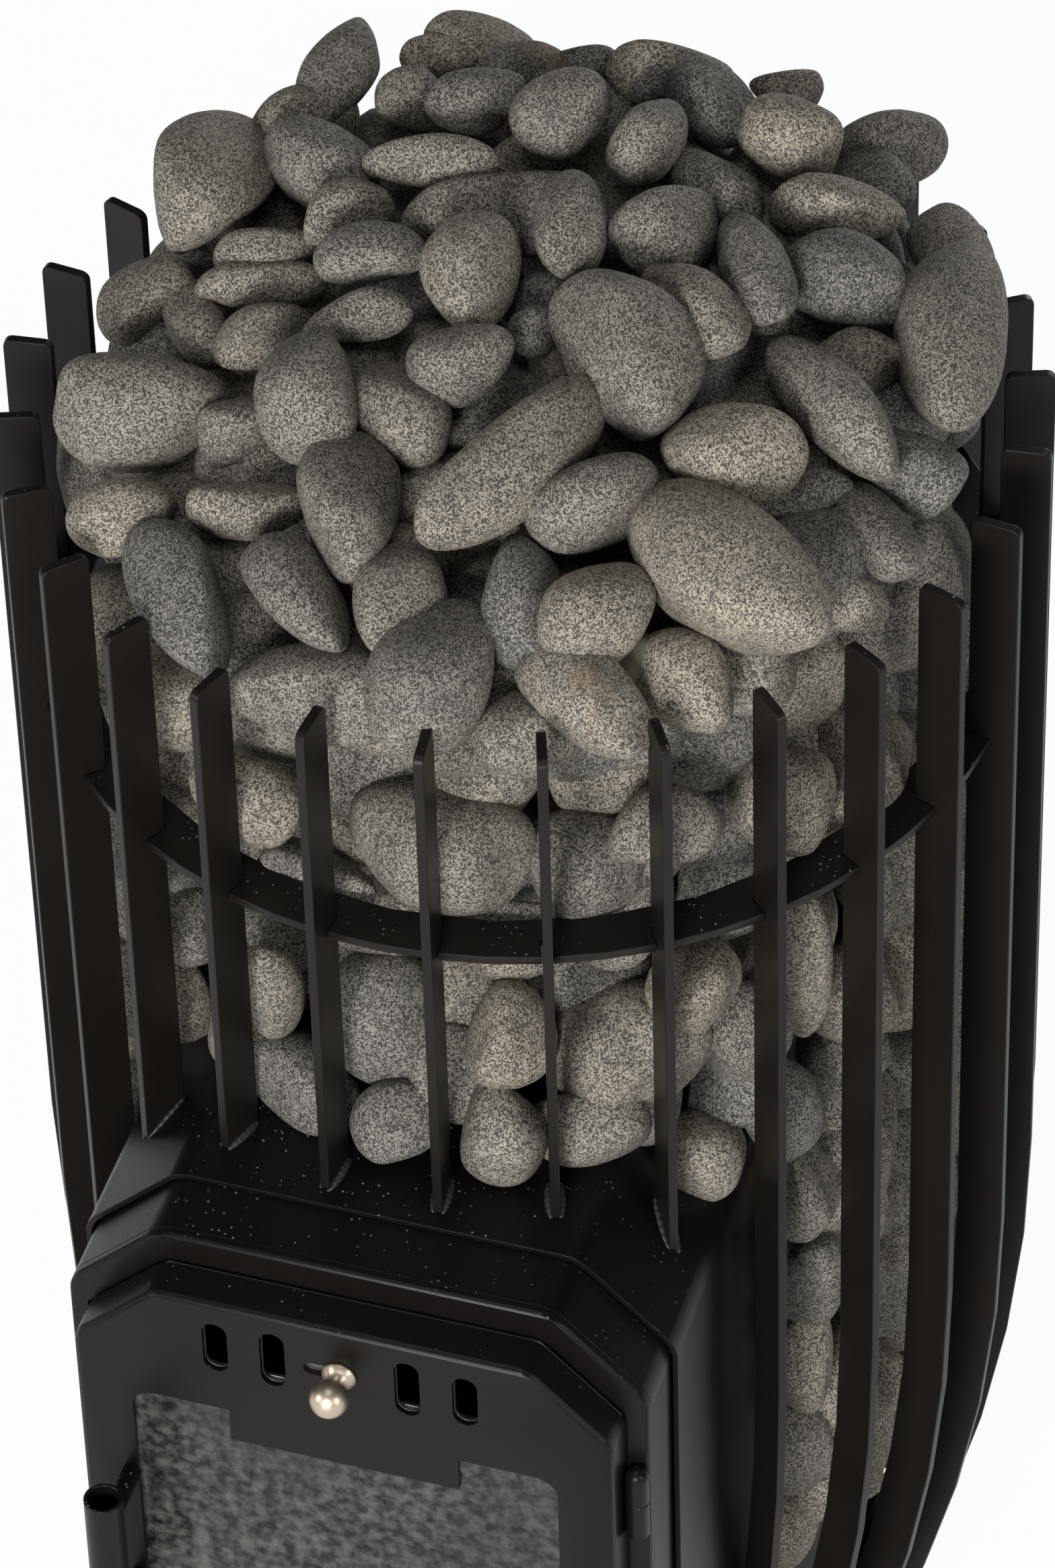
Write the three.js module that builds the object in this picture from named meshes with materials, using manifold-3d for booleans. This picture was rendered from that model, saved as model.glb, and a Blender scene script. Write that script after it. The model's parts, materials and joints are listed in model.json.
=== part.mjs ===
// Wood-burning sauna stove: a cage of standing flat bars filled with stones around a firebox,
// with a tunnel through the stones to a glazed door.
// Millimetres, +Z up, origin on the floor at the axis of the cage, door facing -Y.
import * as THREE from 'three';
import { mergeVertices } from 'three/addons/utils/BufferGeometryUtils.js';
import Module from 'manifold-3d';

const wasm = await Module();
wasm.setup();

// Clearances
const GAP = 0.3;
const STONE_GAP = 0.6;
const RUN_GAP = 1;

// How far a cutting body runs past what it cuts
const CUT = 40;

// Cage of bars
const CAGE_R = 262;
const FIN_COUNT = 28;
const FIN_DEPTH = 25;
const FIN_THICK = 5;
const FIN_TOP_Z = 860;
const FIN_CORNER_R = 4.5;
const FIN_BEND_Z = 374;
const FIN_BEND_R = 1120;
const FRONT_CUT_FINS = 8;
const FRONT_TRIM_FINS = 10;

// Ring that ties the bars, and the base plate
const RING_DROP = 141;
const RING_WIDTH = 25;
const RING_THICK = 5;
const BASE_THICK = 6;

// Firebox
const BOX_R = 165;
const BOX_FACETS = 32;
const BOX_WALL = 6;
const BOX_TOP_Z = 575;
const CROWN_THICK = 8;
const CROWN_LIP = 14;
const BAFFLE_THICK = 5;
const BAFFLE_DROP = 60;
const BAFFLE_SLOT = 70;
const GRATE_THICK = 10;
const GRATE_BAR = 10;
const GRATE_SLOT = 12;

// Tunnel: outer sleeve, inner neck and the frame round the door
const ROOF_DROP = 312;
const SLEEVE_W = 311;
const SLEEVE_CHAMFER = 51;
const SLEEVE_WALL = 3;
const SLEEVE_FRONT_Y = -270;
const SLEEVE_BACK_Y = -110;
const NECK_LAP = 50;
const NECK_WALL = 4;
const FRAME_FRONT_Y = -307.5;
const FRAME_THICK = 5;
const FRAME_EDGE_R = 2;
const HEARTH_Z = 165;
const HEARTH_THICK = 5;

// Door
const DOOR_W = 281;
const DOOR_H = 340;
const DOOR_DROP = 15.5;
const DOOR_CHAMFER = 43;
const DOOR_DEPTH = 22;
const DOOR_SHEET = 3;
const DOOR_EDGE_R = 3;
const DOOR_OVERLAP = 16;
const SEAL_W = 9;
const SEAL_THICK = 3;
const DOOR_SWING = 110;

// Window
const WINDOW_W = 223;
const WINDOW_DROP = 76;
const WINDOW_FOOT = 40;
const WINDOW_R = 12;
const TAB_W = 120;
const TAB_H = 22;
const GLASS_THICK = 4;
const GLASS_LAP = 8;
const RETAINER_W = 14;
const RETAINER_THICK = 2;

// Air slider
const SLOT_W = 13;
const SLOT_DROP = 31;
const SLOT_INNER_X = 35;
const SLOT_INNER_H = 38;
const SLOT_OUTER_X = 65;
const SLOT_OUTER_H = 34;
const SLIDER_W = 164;
const SLIDER_H = 44;
const SLIDER_THICK = 2;
const SLIDER_TRAVEL = 15;
const STEM_R = 3;
const KNOB_R = 10;
const KNOB_BASE_R = 9;
const KNOB_REACH = 26;
const GUIDE_LAP = 4;
const GUIDE_THICK = 2;

// Handle
const HANDLE_X = -115;
const HANDLE_R = 10;
const HANDLE_WALL = 2;
const HANDLE_L = 128;
const HANDLE_DROP = 116;
const HANDLE_STANDOFF = 40;
const ARM_R = 5;
const ARM_INSET = 24;

// Hinges
const KNUCKLE_R = 6;
const KNUCKLE_H = 24;
const PIN_R = 3;
const HINGE_UPPER_DROP = 76;
const HINGE_LOWER_RISE = 50;

// Ash drawer
const DRAWER_W = 236;
const DRAWER_H = 130;
const DRAWER_L = 260;
const DRAWER_SHEET = 2;
const DRAWER_FRONT_LAP = 10;
const DRAWER_FRONT_THICK = 3;
const PULL_W = 60;
const PULL_H = 18;

// Flue collar
const FLUE_R = 57.5;
const FLUE_FACETS = 36;
const FLUE_WALL = 3;
const FLUE_Z = 470;
const FLUE_END_Y = 320;
const SADDLE_LAP = 8;

// Stones
const STONE_BULGE = 0.92;
const STONE_STRAY = 0.25;
const BAR_CLEAR = 4;
const FLUE_STONE_GAP = 8;
const HEAP_LIFT = 4;
const HEAP_SWELL = 55;
const HEAP_TILT = 48;
const CORE_INSET = 34;
const CORE_DROP = 8;
const SIDE_STONE_Z = 130;
const UPPER_ROWS = 3;
const BED_ROWS = 5;
const WALL_COUNT = 13;
const FRONT_SPAN = 0.17;
const FLUE_SPAN = 0.09;

// Heap from above: across, back, length and thickness in hundredths of the cage's inner radius, turn
const HEAP_STONES = [
  [-60, 65, 32, 17, 80], [-7, 55, 25, 19, 40], [-78, 30, 44, 28, 85], [-55, 34, 29, 19, -15],
  [-11, 24, 43, 20, 25], [-12, 5, 32, 22, -85], [4, 20, 36, 17, -80], [-81, -1, 28, 20, 80],
  [-53, -14, 25, 16, 40], [-39, -27, 36, 23, -60], [-73, -32, 38, 25, 5], [-17, -28, 33, 21, -50],
  [-7, -16, 24, 18, 20], [9, -36, 58, 24, 70], [-68, -55, 25, 18, 20], [-22, -51, 41, 23, -80],
  [28, -40, 31, 22, 40], [11, 53, 24, 17, 85], [21, 70, 27, 17, -35], [39, 66, 23, 19, -10],
  [23, 28, 25, 21, 60], [43, 22, 36, 17, -55], [61, 28, 30, 20, -15], [36, 8, 35, 16, -35],
  [83, 27, 56, 25, -80], [26, -8, 50, 30, -35], [51, -19, 31, 24, -10], [68, -1, 46, 20, -40],
  [86, -9, 27, 17, -5], [-49, -71, 46, 21, -45], [-26, -70, 38, 20, -45], [-4, -65, 37, 22, -80],
  [19, -63, 34, 23, -50], [35, -61, 30, 22, 75], [56, -46, 57, 30, -35], [73, -35, 32, 22, 45],
  [6, -80, 39, 25, 85], [-16, -86, 40, 22, 5], [28, -84, 30, 19, 45], [36, -76, 36, 20, -30],
  [55, -68, 27, 22, -5], [-42, 55, 16, 15, 20], [-28, 55, 24, 15, 25], [-44, 18, 22, 15, 35],
  [-34, 6, 24, 15, 15], [9, 78, 28, 15, 5], [30, 44, 24, 15, -25], [53, 49, 30, 14, 10],
  [58, 61, 21, 15, -30], [-62, 48, 26, 18, 40], [58, 74, 26, 18, 35], [78, 50, 28, 18, -60],
  [-22, 70, 22, 15, 60], [70, 12, 24, 16, 20], [-32, 76, 28, 18, -20], [-56, 8, 26, 16, 30],
];

// Stones behind the front bars: degrees from the middle, rise over the sleeve, width and height
const FRONT_STONES = [
  [-21, 85, 37, 22], [4, 82, 46, 32], [36, 89, 28, 22], [24, 81, 26, 32], [-14, 66, 38, 21],
  [39, 42, 27, 26], [-20, 36, 26, 26], [-3, 32, 32, 31], [14, 35, 23, 24], [28, 19, 40, 34],
  [-14, 11, 40, 22], [9, 13, 24, 27], [44, 13, 24, 25], [56, 40, 26, 35], [-40, 26, 31, 26],
  [-44, 62, 34, 28], [50, 80, 28, 34], [-56, 28, 26, 30], [-30, 108, 42, 26], [-6, 108, 44, 26],
  [18, 107, 38, 26], [40, 110, 40, 24], [10, 58, 36, 20], [30, 60, 34, 20], [-34, 44, 30, 22],
];

// Derived levels
const FIN_IN_R = CAGE_R - FIN_DEPTH;
const RING_R = CAGE_R - FIN_DEPTH / 2;
const RING_IN_R = RING_R - RING_WIDTH;
const RING_Z = FIN_TOP_Z - RING_DROP;
const ROOF_Z = FIN_TOP_Z - ROOF_DROP;
const NECK_W = SLEEVE_W - 2 * (SLEEVE_WALL + RUN_GAP);
const NECK_CHAMFER = SLEEVE_CHAMFER - (SLEEVE_WALL + RUN_GAP) * (2 - Math.SQRT2);
const NECK_TOP_Z = ROOF_Z - SLEEVE_WALL - RUN_GAP;
const NECK_BACK_Y = SLEEVE_BACK_Y + NECK_LAP;
const FLOOR_Z = BASE_THICK + GAP;
const DOOR_TOP_Z = NECK_TOP_Z - DOOR_DROP;
const DOOR_BOT_Z = DOOR_TOP_Z - DOOR_H;
const DOOR_BACK_Y = FRAME_FRONT_Y - SEAL_THICK - 2 * GAP;
const DOOR_FRONT_Y = DOOR_BACK_Y - DOOR_DEPTH;
const DOOR_INNER_Y = DOOR_FRONT_Y + DOOR_SHEET;
const CROWN_TOP_Z = BOX_TOP_Z + GAP + CROWN_THICK;
const PITCH = (2 * Math.PI) / FIN_COUNT;

// Materials
const paint = new THREE.MeshStandardMaterial({ color: 0x2a2826, roughness: 0.55, metalness: 0.2 });
const iron = new THREE.MeshStandardMaterial({ color: 0x33312f, roughness: 0.75, metalness: 0.4 });
const nickel = new THREE.MeshStandardMaterial({ color: 0xb9ad98, roughness: 0.3, metalness: 1 });
const steel = new THREE.MeshStandardMaterial({ color: 0x8f8d89, roughness: 0.4, metalness: 1 });
const glass = new THREE.MeshStandardMaterial({ color: 0x3b3c3c, roughness: 0.08, metalness: 0 });
const rope = new THREE.MeshStandardMaterial({ color: 0x5a5651, roughness: 0.95, metalness: 0 });
const stone = new THREE.MeshStandardMaterial({ color: 0x6b6863, roughness: 0.9, metalness: 0 });

// Solid helpers
function solid(geometry) {
  const bare = geometry.index ? geometry.toNonIndexed() : geometry.clone();
  bare.deleteAttribute('normal');
  bare.deleteAttribute('uv');
  const merged = mergeVertices(bare, 1e-4);
  const vertProperties = new Float32Array(merged.attributes.position.array);
  const triVerts = new Uint32Array(merged.index.array);
  return new wasm.Manifold(new wasm.Mesh({ numProp: 3, vertProperties, triVerts }));
}

function geometryOf(body) {
  const mesh = body.getMesh();
  const geometry = new THREE.BufferGeometry();
  const positions = new Float32Array((mesh.vertProperties.length / mesh.numProp) * 3);
  for (let i = 0; i < positions.length / 3; i += 1) {
    positions[3 * i] = mesh.vertProperties[mesh.numProp * i];
    positions[3 * i + 1] = mesh.vertProperties[mesh.numProp * i + 1];
    positions[3 * i + 2] = mesh.vertProperties[mesh.numProp * i + 2];
  }
  geometry.setAttribute('position', new THREE.BufferAttribute(positions, 3));
  geometry.setIndex(Array.from(mesh.triVerts));
  return geometry;
}

function box(x0, x1, y0, y1, z0, z1) {
  const geometry = new THREE.BoxGeometry(x1 - x0, y1 - y0, z1 - z0);
  geometry.translate((x0 + x1) / 2, (y0 + y1) / 2, (z0 + z1) / 2);
  return solid(geometry);
}

function post(radius, z0, z1, segments = 32) {
  const geometry = new THREE.CylinderGeometry(radius, radius, z1 - z0, segments);
  geometry.rotateX(Math.PI / 2);
  geometry.translate(0, 0, (z0 + z1) / 2);
  return geometry;
}

function rodY(radius, y0, y1, x, z, segments = 32) {
  const geometry = new THREE.CylinderGeometry(radius, radius, y1 - y0, segments);
  geometry.translate(x, (y0 + y1) / 2, z);
  // The cylinder already runs along Y, so only its cross-section centre is placed.
  return geometry;
}

// A profile drawn in X and Z, pushed from y1 (back) to y0 (front)
function pushY(shape, y0, y1) {
  const options = { depth: y1 - y0, bevelEnabled: false, curveSegments: 3 };
  const geometry = new THREE.ExtrudeGeometry(shape, options);
  geometry.rotateX(Math.PI / 2);
  geometry.translate(0, y1, 0);
  return geometry;
}

// The same with a rounded front edge and a square back
function roundedPush(shape, y0, y1, radius) {
  const settings = {
    depth: y1 - y0,
    bevelEnabled: true,
    bevelSize: radius,
    bevelThickness: radius,
    bevelOffset: -radius,
    bevelSegments: 2,
    curveSegments: 3,
  };
  const geometry = new THREE.ExtrudeGeometry(shape, settings);
  geometry.rotateX(Math.PI / 2);
  geometry.translate(0, y1 + radius, 0);
  const beyond = box(-2 * CAGE_R, 2 * CAGE_R, y1, y1 + 4 * radius, -FIN_TOP_Z, 2 * FIN_TOP_Z);
  return solid(geometry).subtract(beyond);
}

// Portal outline: straight legs, chamfered top corners
function portal(halfWidth, topZ, botZ, chamfer) {
  const shape = new THREE.Shape();
  shape.moveTo(-halfWidth, botZ);
  shape.lineTo(halfWidth, botZ);
  shape.lineTo(halfWidth, topZ - chamfer);
  shape.lineTo(halfWidth - chamfer, topZ);
  shape.lineTo(-halfWidth + chamfer, topZ);
  shape.lineTo(-halfWidth, topZ - chamfer);
  shape.closePath();
  return shape;
}

function portalSolid(halfWidth, topZ, botZ, chamfer, y0, y1) {
  return solid(pushY(portal(halfWidth, topZ, botZ, chamfer), y0, y1));
}

function obround(cx, cz, width, height) {
  const shape = new THREE.Shape();
  const r = Math.min(width, height) / 2;
  const dx = width / 2 - r;
  const dz = height / 2 - r;
  shape.absarc(cx + dx, cz + dz, r, 0, Math.PI / 2, false);
  shape.absarc(cx - dx, cz + dz, r, Math.PI / 2, Math.PI, false);
  shape.absarc(cx - dx, cz - dz, r, Math.PI, 1.5 * Math.PI, false);
  shape.absarc(cx + dx, cz - dz, r, 1.5 * Math.PI, 2 * Math.PI, false);
  return shape;
}

function roundedRect(x0, x1, z0, z1, r) {
  const shape = new THREE.Shape();
  shape.absarc(x1 - r, z1 - r, r, 0, Math.PI / 2, false);
  shape.absarc(x0 + r, z1 - r, r, Math.PI / 2, Math.PI, false);
  shape.absarc(x0 + r, z0 + r, r, Math.PI, 1.5 * Math.PI, false);
  shape.absarc(x1 - r, z0 + r, r, 1.5 * Math.PI, 2 * Math.PI, false);
  return shape;
}

function lathe(points, segments) {
  const geometry = new THREE.LatheGeometry(points.map(([r, z]) => new THREE.Vector2(r, z)), segments);
  geometry.rotateX(Math.PI / 2);
  return geometry;
}

// The largest piece of a body, without voids closed in or offcuts
function outerSkin(body) {
  const parts = body.decompose();
  parts.sort((a, b) => b.volume() - a.volume());
  return parts[0];
}

// Assembly groups
const stove = new THREE.Group();
const doorGroup = new THREE.Group();
const sliderGroup = new THREE.Group();
const drawerGroup = new THREE.Group();
stove.add(doorGroup, drawerGroup);
doorGroup.add(sliderGroup);

function add(group, name, shapeOrBody, material) {
  const geometry = shapeOrBody.isBufferGeometry ? shapeOrBody : geometryOf(shapeOrBody);
  const mesh = new THREE.Mesh(geometry, material);
  mesh.name = name;
  group.add(mesh);
  return mesh;
}

// Bars of the cage
function bendInset(z, radius) {
  const below = Math.max(0, FIN_BEND_Z - z);
  return radius - Math.sqrt(radius * radius - below * below);
}

function finShape(z0, z1) {
  const shape = new THREE.Shape();
  const steps = 5;
  const inner = (z) => FIN_IN_R - bendInset(z, FIN_BEND_R - FIN_DEPTH);
  const outer = (z) => CAGE_R - bendInset(z, FIN_BEND_R);
  const bendTop = Math.min(FIN_BEND_Z, z1);
  shape.moveTo(inner(z0), z0);
  shape.lineTo(outer(z0), z0);
  for (let i = 1; i <= steps && z0 < bendTop; i += 1) {
    const z = z0 + ((bendTop - z0) * i) / steps;
    shape.lineTo(outer(z), z);
  }
  if (z1 === FIN_TOP_Z) {
    shape.lineTo(CAGE_R, z1 - FIN_CORNER_R);
    shape.absarc(CAGE_R - FIN_CORNER_R, z1 - FIN_CORNER_R, FIN_CORNER_R, 0, Math.PI / 2, false);
    shape.absarc(FIN_IN_R + FIN_CORNER_R, z1 - FIN_CORNER_R, FIN_CORNER_R, Math.PI / 2, Math.PI, false);
  } else {
    shape.lineTo(outer(z1), z1);
    shape.lineTo(inner(z1), z1);
  }
  for (let i = steps; i >= 1 && z0 < bendTop; i -= 1) {
    const z = z0 + ((bendTop - z0) * i) / steps;
    if (z < z1) {
      shape.lineTo(inner(z), z);
    }
  }
  shape.closePath();
  return shape;
}

function finGeometry(z0, z1, angle) {
  const settings = { depth: FIN_THICK, bevelEnabled: false, curveSegments: 2 };
  const geometry = new THREE.ExtrudeGeometry(finShape(z0, z1), settings);
  geometry.translate(0, 0, -FIN_THICK / 2);
  geometry.rotateX(Math.PI / 2);
  geometry.rotateZ(angle);
  return geometry;
}

const sleeveKeepOut = portalSolid(
  SLEEVE_W / 2 + GAP,
  ROOF_Z + GAP,
  -1,
  SLEEVE_CHAMFER + GAP * (2 - Math.SQRT2),
  SLEEVE_FRONT_Y - CUT,
  SLEEVE_BACK_Y,
);
const neckKeepOut = portalSolid(
  NECK_W / 2 + GAP,
  NECK_TOP_Z,
  -1,
  NECK_CHAMFER,
  SLEEVE_FRONT_Y,
  NECK_BACK_Y + GAP,
);
const flueKeepOut = solid(rodY(FLUE_R + GAP, BOX_R - CUT, FLUE_END_Y + CUT, 0, FLUE_Z, FLUE_FACETS));

for (let i = 0; i < FIN_COUNT; i += 1) {
  const step = i + 0.5;
  const angle = -Math.PI / 2 + step * PITCH;
  const fromFront = Math.min(step, FIN_COUNT - step);
  const label = String(i + 1).padStart(2, '0');
  const reach = FIN_THICK / 2 + GAP;
  const overSleeve = fromFront < FRONT_CUT_FINS / 2;
  const overFlue = Math.abs(Math.cos(angle)) * FIN_IN_R - reach < FLUE_R && Math.sin(angle) > 0;
  const whole = finGeometry(0, FIN_TOP_Z, angle);
  if (overSleeve) {
    add(stove, `bar_short_${label}`, outerSkin(solid(whole).subtract(sleeveKeepOut)), paint);
  } else if (overFlue) {
    const parts = solid(whole).subtract(flueKeepOut).decompose();
    parts.sort((a, b) => a.boundingBox().min[2] - b.boundingBox().min[2]);
    add(stove, `bar_rear_lower_${label}`, parts[0], paint);
    add(stove, `bar_rear_upper_${label}`, parts[1], paint);
  } else if (fromFront < FRONT_TRIM_FINS / 2) {
    add(stove, `bar_${label}`, outerSkin(solid(whole).subtract(neckKeepOut)), paint);
  } else {
    add(stove, `bar_${label}`, whole, paint);
  }
}

// Ring and base plate, notched for the bars
function notchedDisc(radius, notchR, holeR, facets) {
  const shape = new THREE.Shape();
  const half = FIN_THICK / 2 + GAP;
  for (let i = 0; i < FIN_COUNT; i += 1) {
    const mid = -Math.PI / 2 + (i + 0.5) * PITCH;
    const turn = Math.asin(half / radius);
    const cut = Math.asin(half / notchR);
    const corners = [
      [radius, mid - turn],
      [notchR, mid - cut],
      [notchR, mid + cut],
      [radius, mid + turn],
    ];
    corners.forEach(([r, a], n) => {
      const x = r * Math.cos(a);
      const y = r * Math.sin(a);
      if (i === 0 && n === 0) {
        shape.moveTo(x, y);
      } else {
        shape.lineTo(x, y);
      }
    });
    for (let s = 1; s < facets; s += 1) {
      const a = mid + turn + ((PITCH - 2 * turn) * s) / facets;
      shape.lineTo(radius * Math.cos(a), radius * Math.sin(a));
    }
  }
  shape.closePath();
  if (holeR > 0) {
    const hole = new THREE.Path();
    hole.absarc(0, 0, holeR, 0, 2 * Math.PI, true);
    shape.holes.push(hole);
  }
  return shape;
}

function plate(shape, z0, thick, curveSegments) {
  const geometry = new THREE.ExtrudeGeometry(shape, { depth: thick, bevelEnabled: false, curveSegments });
  geometry.translate(0, 0, z0);
  return geometry;
}

const ringShape = notchedDisc(RING_R, FIN_IN_R - GAP, RING_IN_R, 2);
add(stove, 'tie_ring', plate(ringShape, RING_Z - RING_THICK, RING_THICK, FIN_COUNT / 2), paint);

const footR = FIN_IN_R - bendInset(0, FIN_BEND_R - FIN_DEPTH);
const tongue = box(-SLEEVE_W / 2, SLEEVE_W / 2, FRAME_FRONT_Y, 0, 0, BASE_THICK);
let basePlate = solid(post(footR + FIN_DEPTH / 2, 0, BASE_THICK, 2 * FIN_COUNT)).add(tongue);
for (let i = FRONT_CUT_FINS / 2; i < FIN_COUNT - FRONT_CUT_FINS / 2; i += 1) {
  const half = FIN_THICK / 2 + GAP;
  const notch = new THREE.BoxGeometry(FIN_DEPTH * 1.5, 2 * half, 3 * BASE_THICK);
  notch.translate(footR - GAP + FIN_DEPTH * 0.75, 0, 0);
  notch.rotateZ(-Math.PI / 2 + (i + 0.5) * PITCH);
  basePlate = basePlate.subtract(solid(notch));
}
add(stove, 'base_plate', basePlate, paint);

// Sleeve, neck and frame of the tunnel
const boxKeepOut = solid(post(BOX_R + GAP, -CUT, FIN_TOP_Z, BOX_FACETS));
const sleeveOuter = portalSolid(SLEEVE_W / 2, ROOF_Z, FLOOR_Z, SLEEVE_CHAMFER, SLEEVE_FRONT_Y, SLEEVE_BACK_Y);
const sleeveInner = portalSolid(
  SLEEVE_W / 2 - SLEEVE_WALL,
  ROOF_Z - SLEEVE_WALL,
  -CUT,
  SLEEVE_CHAMFER - SLEEVE_WALL * (2 - Math.SQRT2),
  SLEEVE_FRONT_Y - CUT,
  SLEEVE_BACK_Y + CUT,
);
add(stove, 'tunnel_sleeve', sleeveOuter.subtract(sleeveInner).subtract(boxKeepOut), paint);

const frameBack = FRAME_FRONT_Y + FRAME_THICK;
const neckOuter = portalSolid(NECK_W / 2, NECK_TOP_Z, FLOOR_Z, NECK_CHAMFER, frameBack + GAP, NECK_BACK_Y);
const neckInnerW = NECK_W - 2 * NECK_WALL;
const neckInnerTop = NECK_TOP_Z - NECK_WALL;
const neckInnerChamfer = NECK_CHAMFER - NECK_WALL * (2 - Math.SQRT2);
const neckInner = portalSolid(
  neckInnerW / 2,
  neckInnerTop,
  -CUT,
  neckInnerChamfer,
  FRAME_FRONT_Y,
  NECK_BACK_Y + CUT,
);
add(stove, 'firebox_neck', neckOuter.subtract(neckInner).subtract(boxKeepOut), paint);

const passHalf = DOOR_W / 2 - DOOR_OVERLAP;
const passTop = DOOR_TOP_Z - DOOR_OVERLAP;
const passBot = DOOR_BOT_Z + DOOR_OVERLAP;
const passChamfer = DOOR_CHAMFER - DOOR_OVERLAP * (2 - Math.SQRT2);
const drawerTop = FLOOR_Z + GAP + DRAWER_H + RUN_GAP;
const frameOuter = portal(NECK_W / 2, NECK_TOP_Z, FLOOR_Z, NECK_CHAMFER);
const frameBody = roundedPush(frameOuter, FRAME_FRONT_Y, frameBack, FRAME_EDGE_R);
const doorPass = portalSolid(passHalf, passTop, passBot, passChamfer, FRAME_FRONT_Y - CUT, frameBack + CUT);
const drawerHalf = DRAWER_W / 2 + RUN_GAP;
const drawerPass = box(-drawerHalf, drawerHalf, FRAME_FRONT_Y - CUT, frameBack + CUT, -CUT, drawerTop);
add(stove, 'door_frame', frameBody.subtract(doorPass).subtract(drawerPass), paint);

const hearthHalf = neckInnerW / 2 - GAP;
const hearth = box(-hearthHalf, hearthHalf, frameBack + GAP, NECK_BACK_Y, HEARTH_Z - HEARTH_THICK, HEARTH_Z);
add(stove, 'hearth_plate', hearth.subtract(boxKeepOut), iron);

// Firebox: shell, crown, grate and baffle
const boxInR = BOX_R - BOX_WALL;
const shellProfile = [
  [boxInR, FLOOR_Z],
  [BOX_R, FLOOR_Z],
  [BOX_R, BOX_TOP_Z],
  [boxInR, BOX_TOP_Z],
  [boxInR, FLOOR_Z],
];
const shell = solid(lathe(shellProfile, BOX_FACETS));
const mouth = portalSolid(neckInnerW / 2, neckInnerTop, -CUT, neckInnerChamfer, -2 * BOX_R, 0);
const flueBore = solid(rodY(FLUE_R - FLUE_WALL, 0, FLUE_END_Y + CUT, 0, FLUE_Z, FLUE_FACETS));
const saddleHalf = FLUE_R + SADDLE_LAP;
const saddleWindow = box(-saddleHalf, saddleHalf, 0, 2 * BOX_R, FLUE_Z - saddleHalf, FLUE_Z + saddleHalf);
add(stove, 'firebox_shell', shell.subtract(mouth).subtract(saddleWindow), iron);

const crownProfile = [
  [0, BOX_TOP_Z + GAP],
  [BOX_R, BOX_TOP_Z + GAP],
  [BOX_R, CROWN_TOP_Z],
  [0, CROWN_TOP_Z],
];
const lipProfile = [
  [0, BOX_TOP_Z - CROWN_LIP],
  [boxInR - GAP, BOX_TOP_Z - CROWN_LIP],
  [boxInR - GAP, BOX_TOP_Z + GAP + 1],
  [0, BOX_TOP_Z + GAP + 1],
];
const crownHollowR = boxInR - GAP - BOX_WALL;
const crownHollow = solid(
  post(crownHollowR, BOX_TOP_Z - CROWN_LIP - CUT, BOX_TOP_Z + GAP, BOX_FACETS),
);
const crownLid = solid(lathe(crownProfile, BOX_FACETS));
const crown = crownLid.add(solid(lathe(lipProfile, BOX_FACETS))).subtract(crownHollow);
add(stove, 'firebox_crown', crown, iron);

const grateTop = HEARTH_Z;
let grate = solid(post(boxInR - GAP, grateTop - GRATE_THICK, grateTop, BOX_FACETS));
const gratePitch = GRATE_BAR + GRATE_SLOT;
const grateReach = boxInR * 0.6;
for (let x = -3 * gratePitch; x <= 3 * gratePitch; x += gratePitch) {
  const half = GRATE_SLOT / 2;
  const slot = box(x - half, x + half, -grateReach, grateReach, grateTop - CUT, grateTop + CUT);
  grate = grate.subtract(slot);
}
add(stove, 'fire_grate', grate, iron);

const baffleZ = BOX_TOP_Z - BAFFLE_DROP;
const baffleDisc = solid(post(boxInR - GAP, baffleZ - BAFFLE_THICK, baffleZ, BOX_FACETS));
const baffleCut = box(-BOX_R, BOX_R, boxInR - BAFFLE_SLOT, BOX_R + CUT, baffleZ - CUT, baffleZ + CUT);
const baffleFront = box(-BOX_R, BOX_R, -BOX_R - CUT, -boxInR + BAFFLE_SLOT, baffleZ - CUT, baffleZ + CUT);
add(stove, 'smoke_baffle', baffleDisc.subtract(baffleFront).subtract(solid(rodY(
  FLUE_R + GAP, 0, BOX_R, 0, FLUE_Z, FLUE_FACETS))).subtract(baffleCut), iron);

// Flue collar: a spigot on a saddle plate that closes a window in the shell
const plateHalf = saddleHalf - GAP;
const plateSpace = box(-plateHalf, plateHalf, 0, 2 * BOX_R, FLUE_Z - plateHalf, FLUE_Z + plateHalf);
const saddle = shell.intersect(plateSpace);
const flueOuter = solid(rodY(FLUE_R, 0, FLUE_END_Y, 0, FLUE_Z, FLUE_FACETS));
const spigot = flueOuter.subtract(solid(post(BOX_R - BOX_WALL / 2, 0, FIN_TOP_Z, BOX_FACETS)));
add(stove, 'flue_collar', spigot.add(saddle).subtract(flueBore), paint);

// Stones: rough bodies laid over a core and trimmed to the space that holds them
function noise(n) {
  const s = Math.sin(n * 127.1 + 311.7) * 43758.5453;
  return s - Math.floor(s);
}

function stoneBody(place, half, turn, seed) {
  const geometry = new THREE.IcosahedronGeometry(STONE_BULGE, 0);
  geometry.rotateX(noise(seed) * Math.PI);
  geometry.rotateY(noise(seed + 0.4) * Math.PI);
  geometry.scale(...half);
  geometry.rotateZ(turn);
  geometry.translate(...place);
  return solid(geometry);
}

function unite(bodies) {
  let row = bodies;
  while (row.length > 1) {
    const next = [];
    for (let i = 0; i < row.length; i += 2) {
      next.push(i + 1 < row.length ? row[i].add(row[i + 1]) : row[i]);
    }
    row = next;
  }
  return row[0];
}

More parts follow.
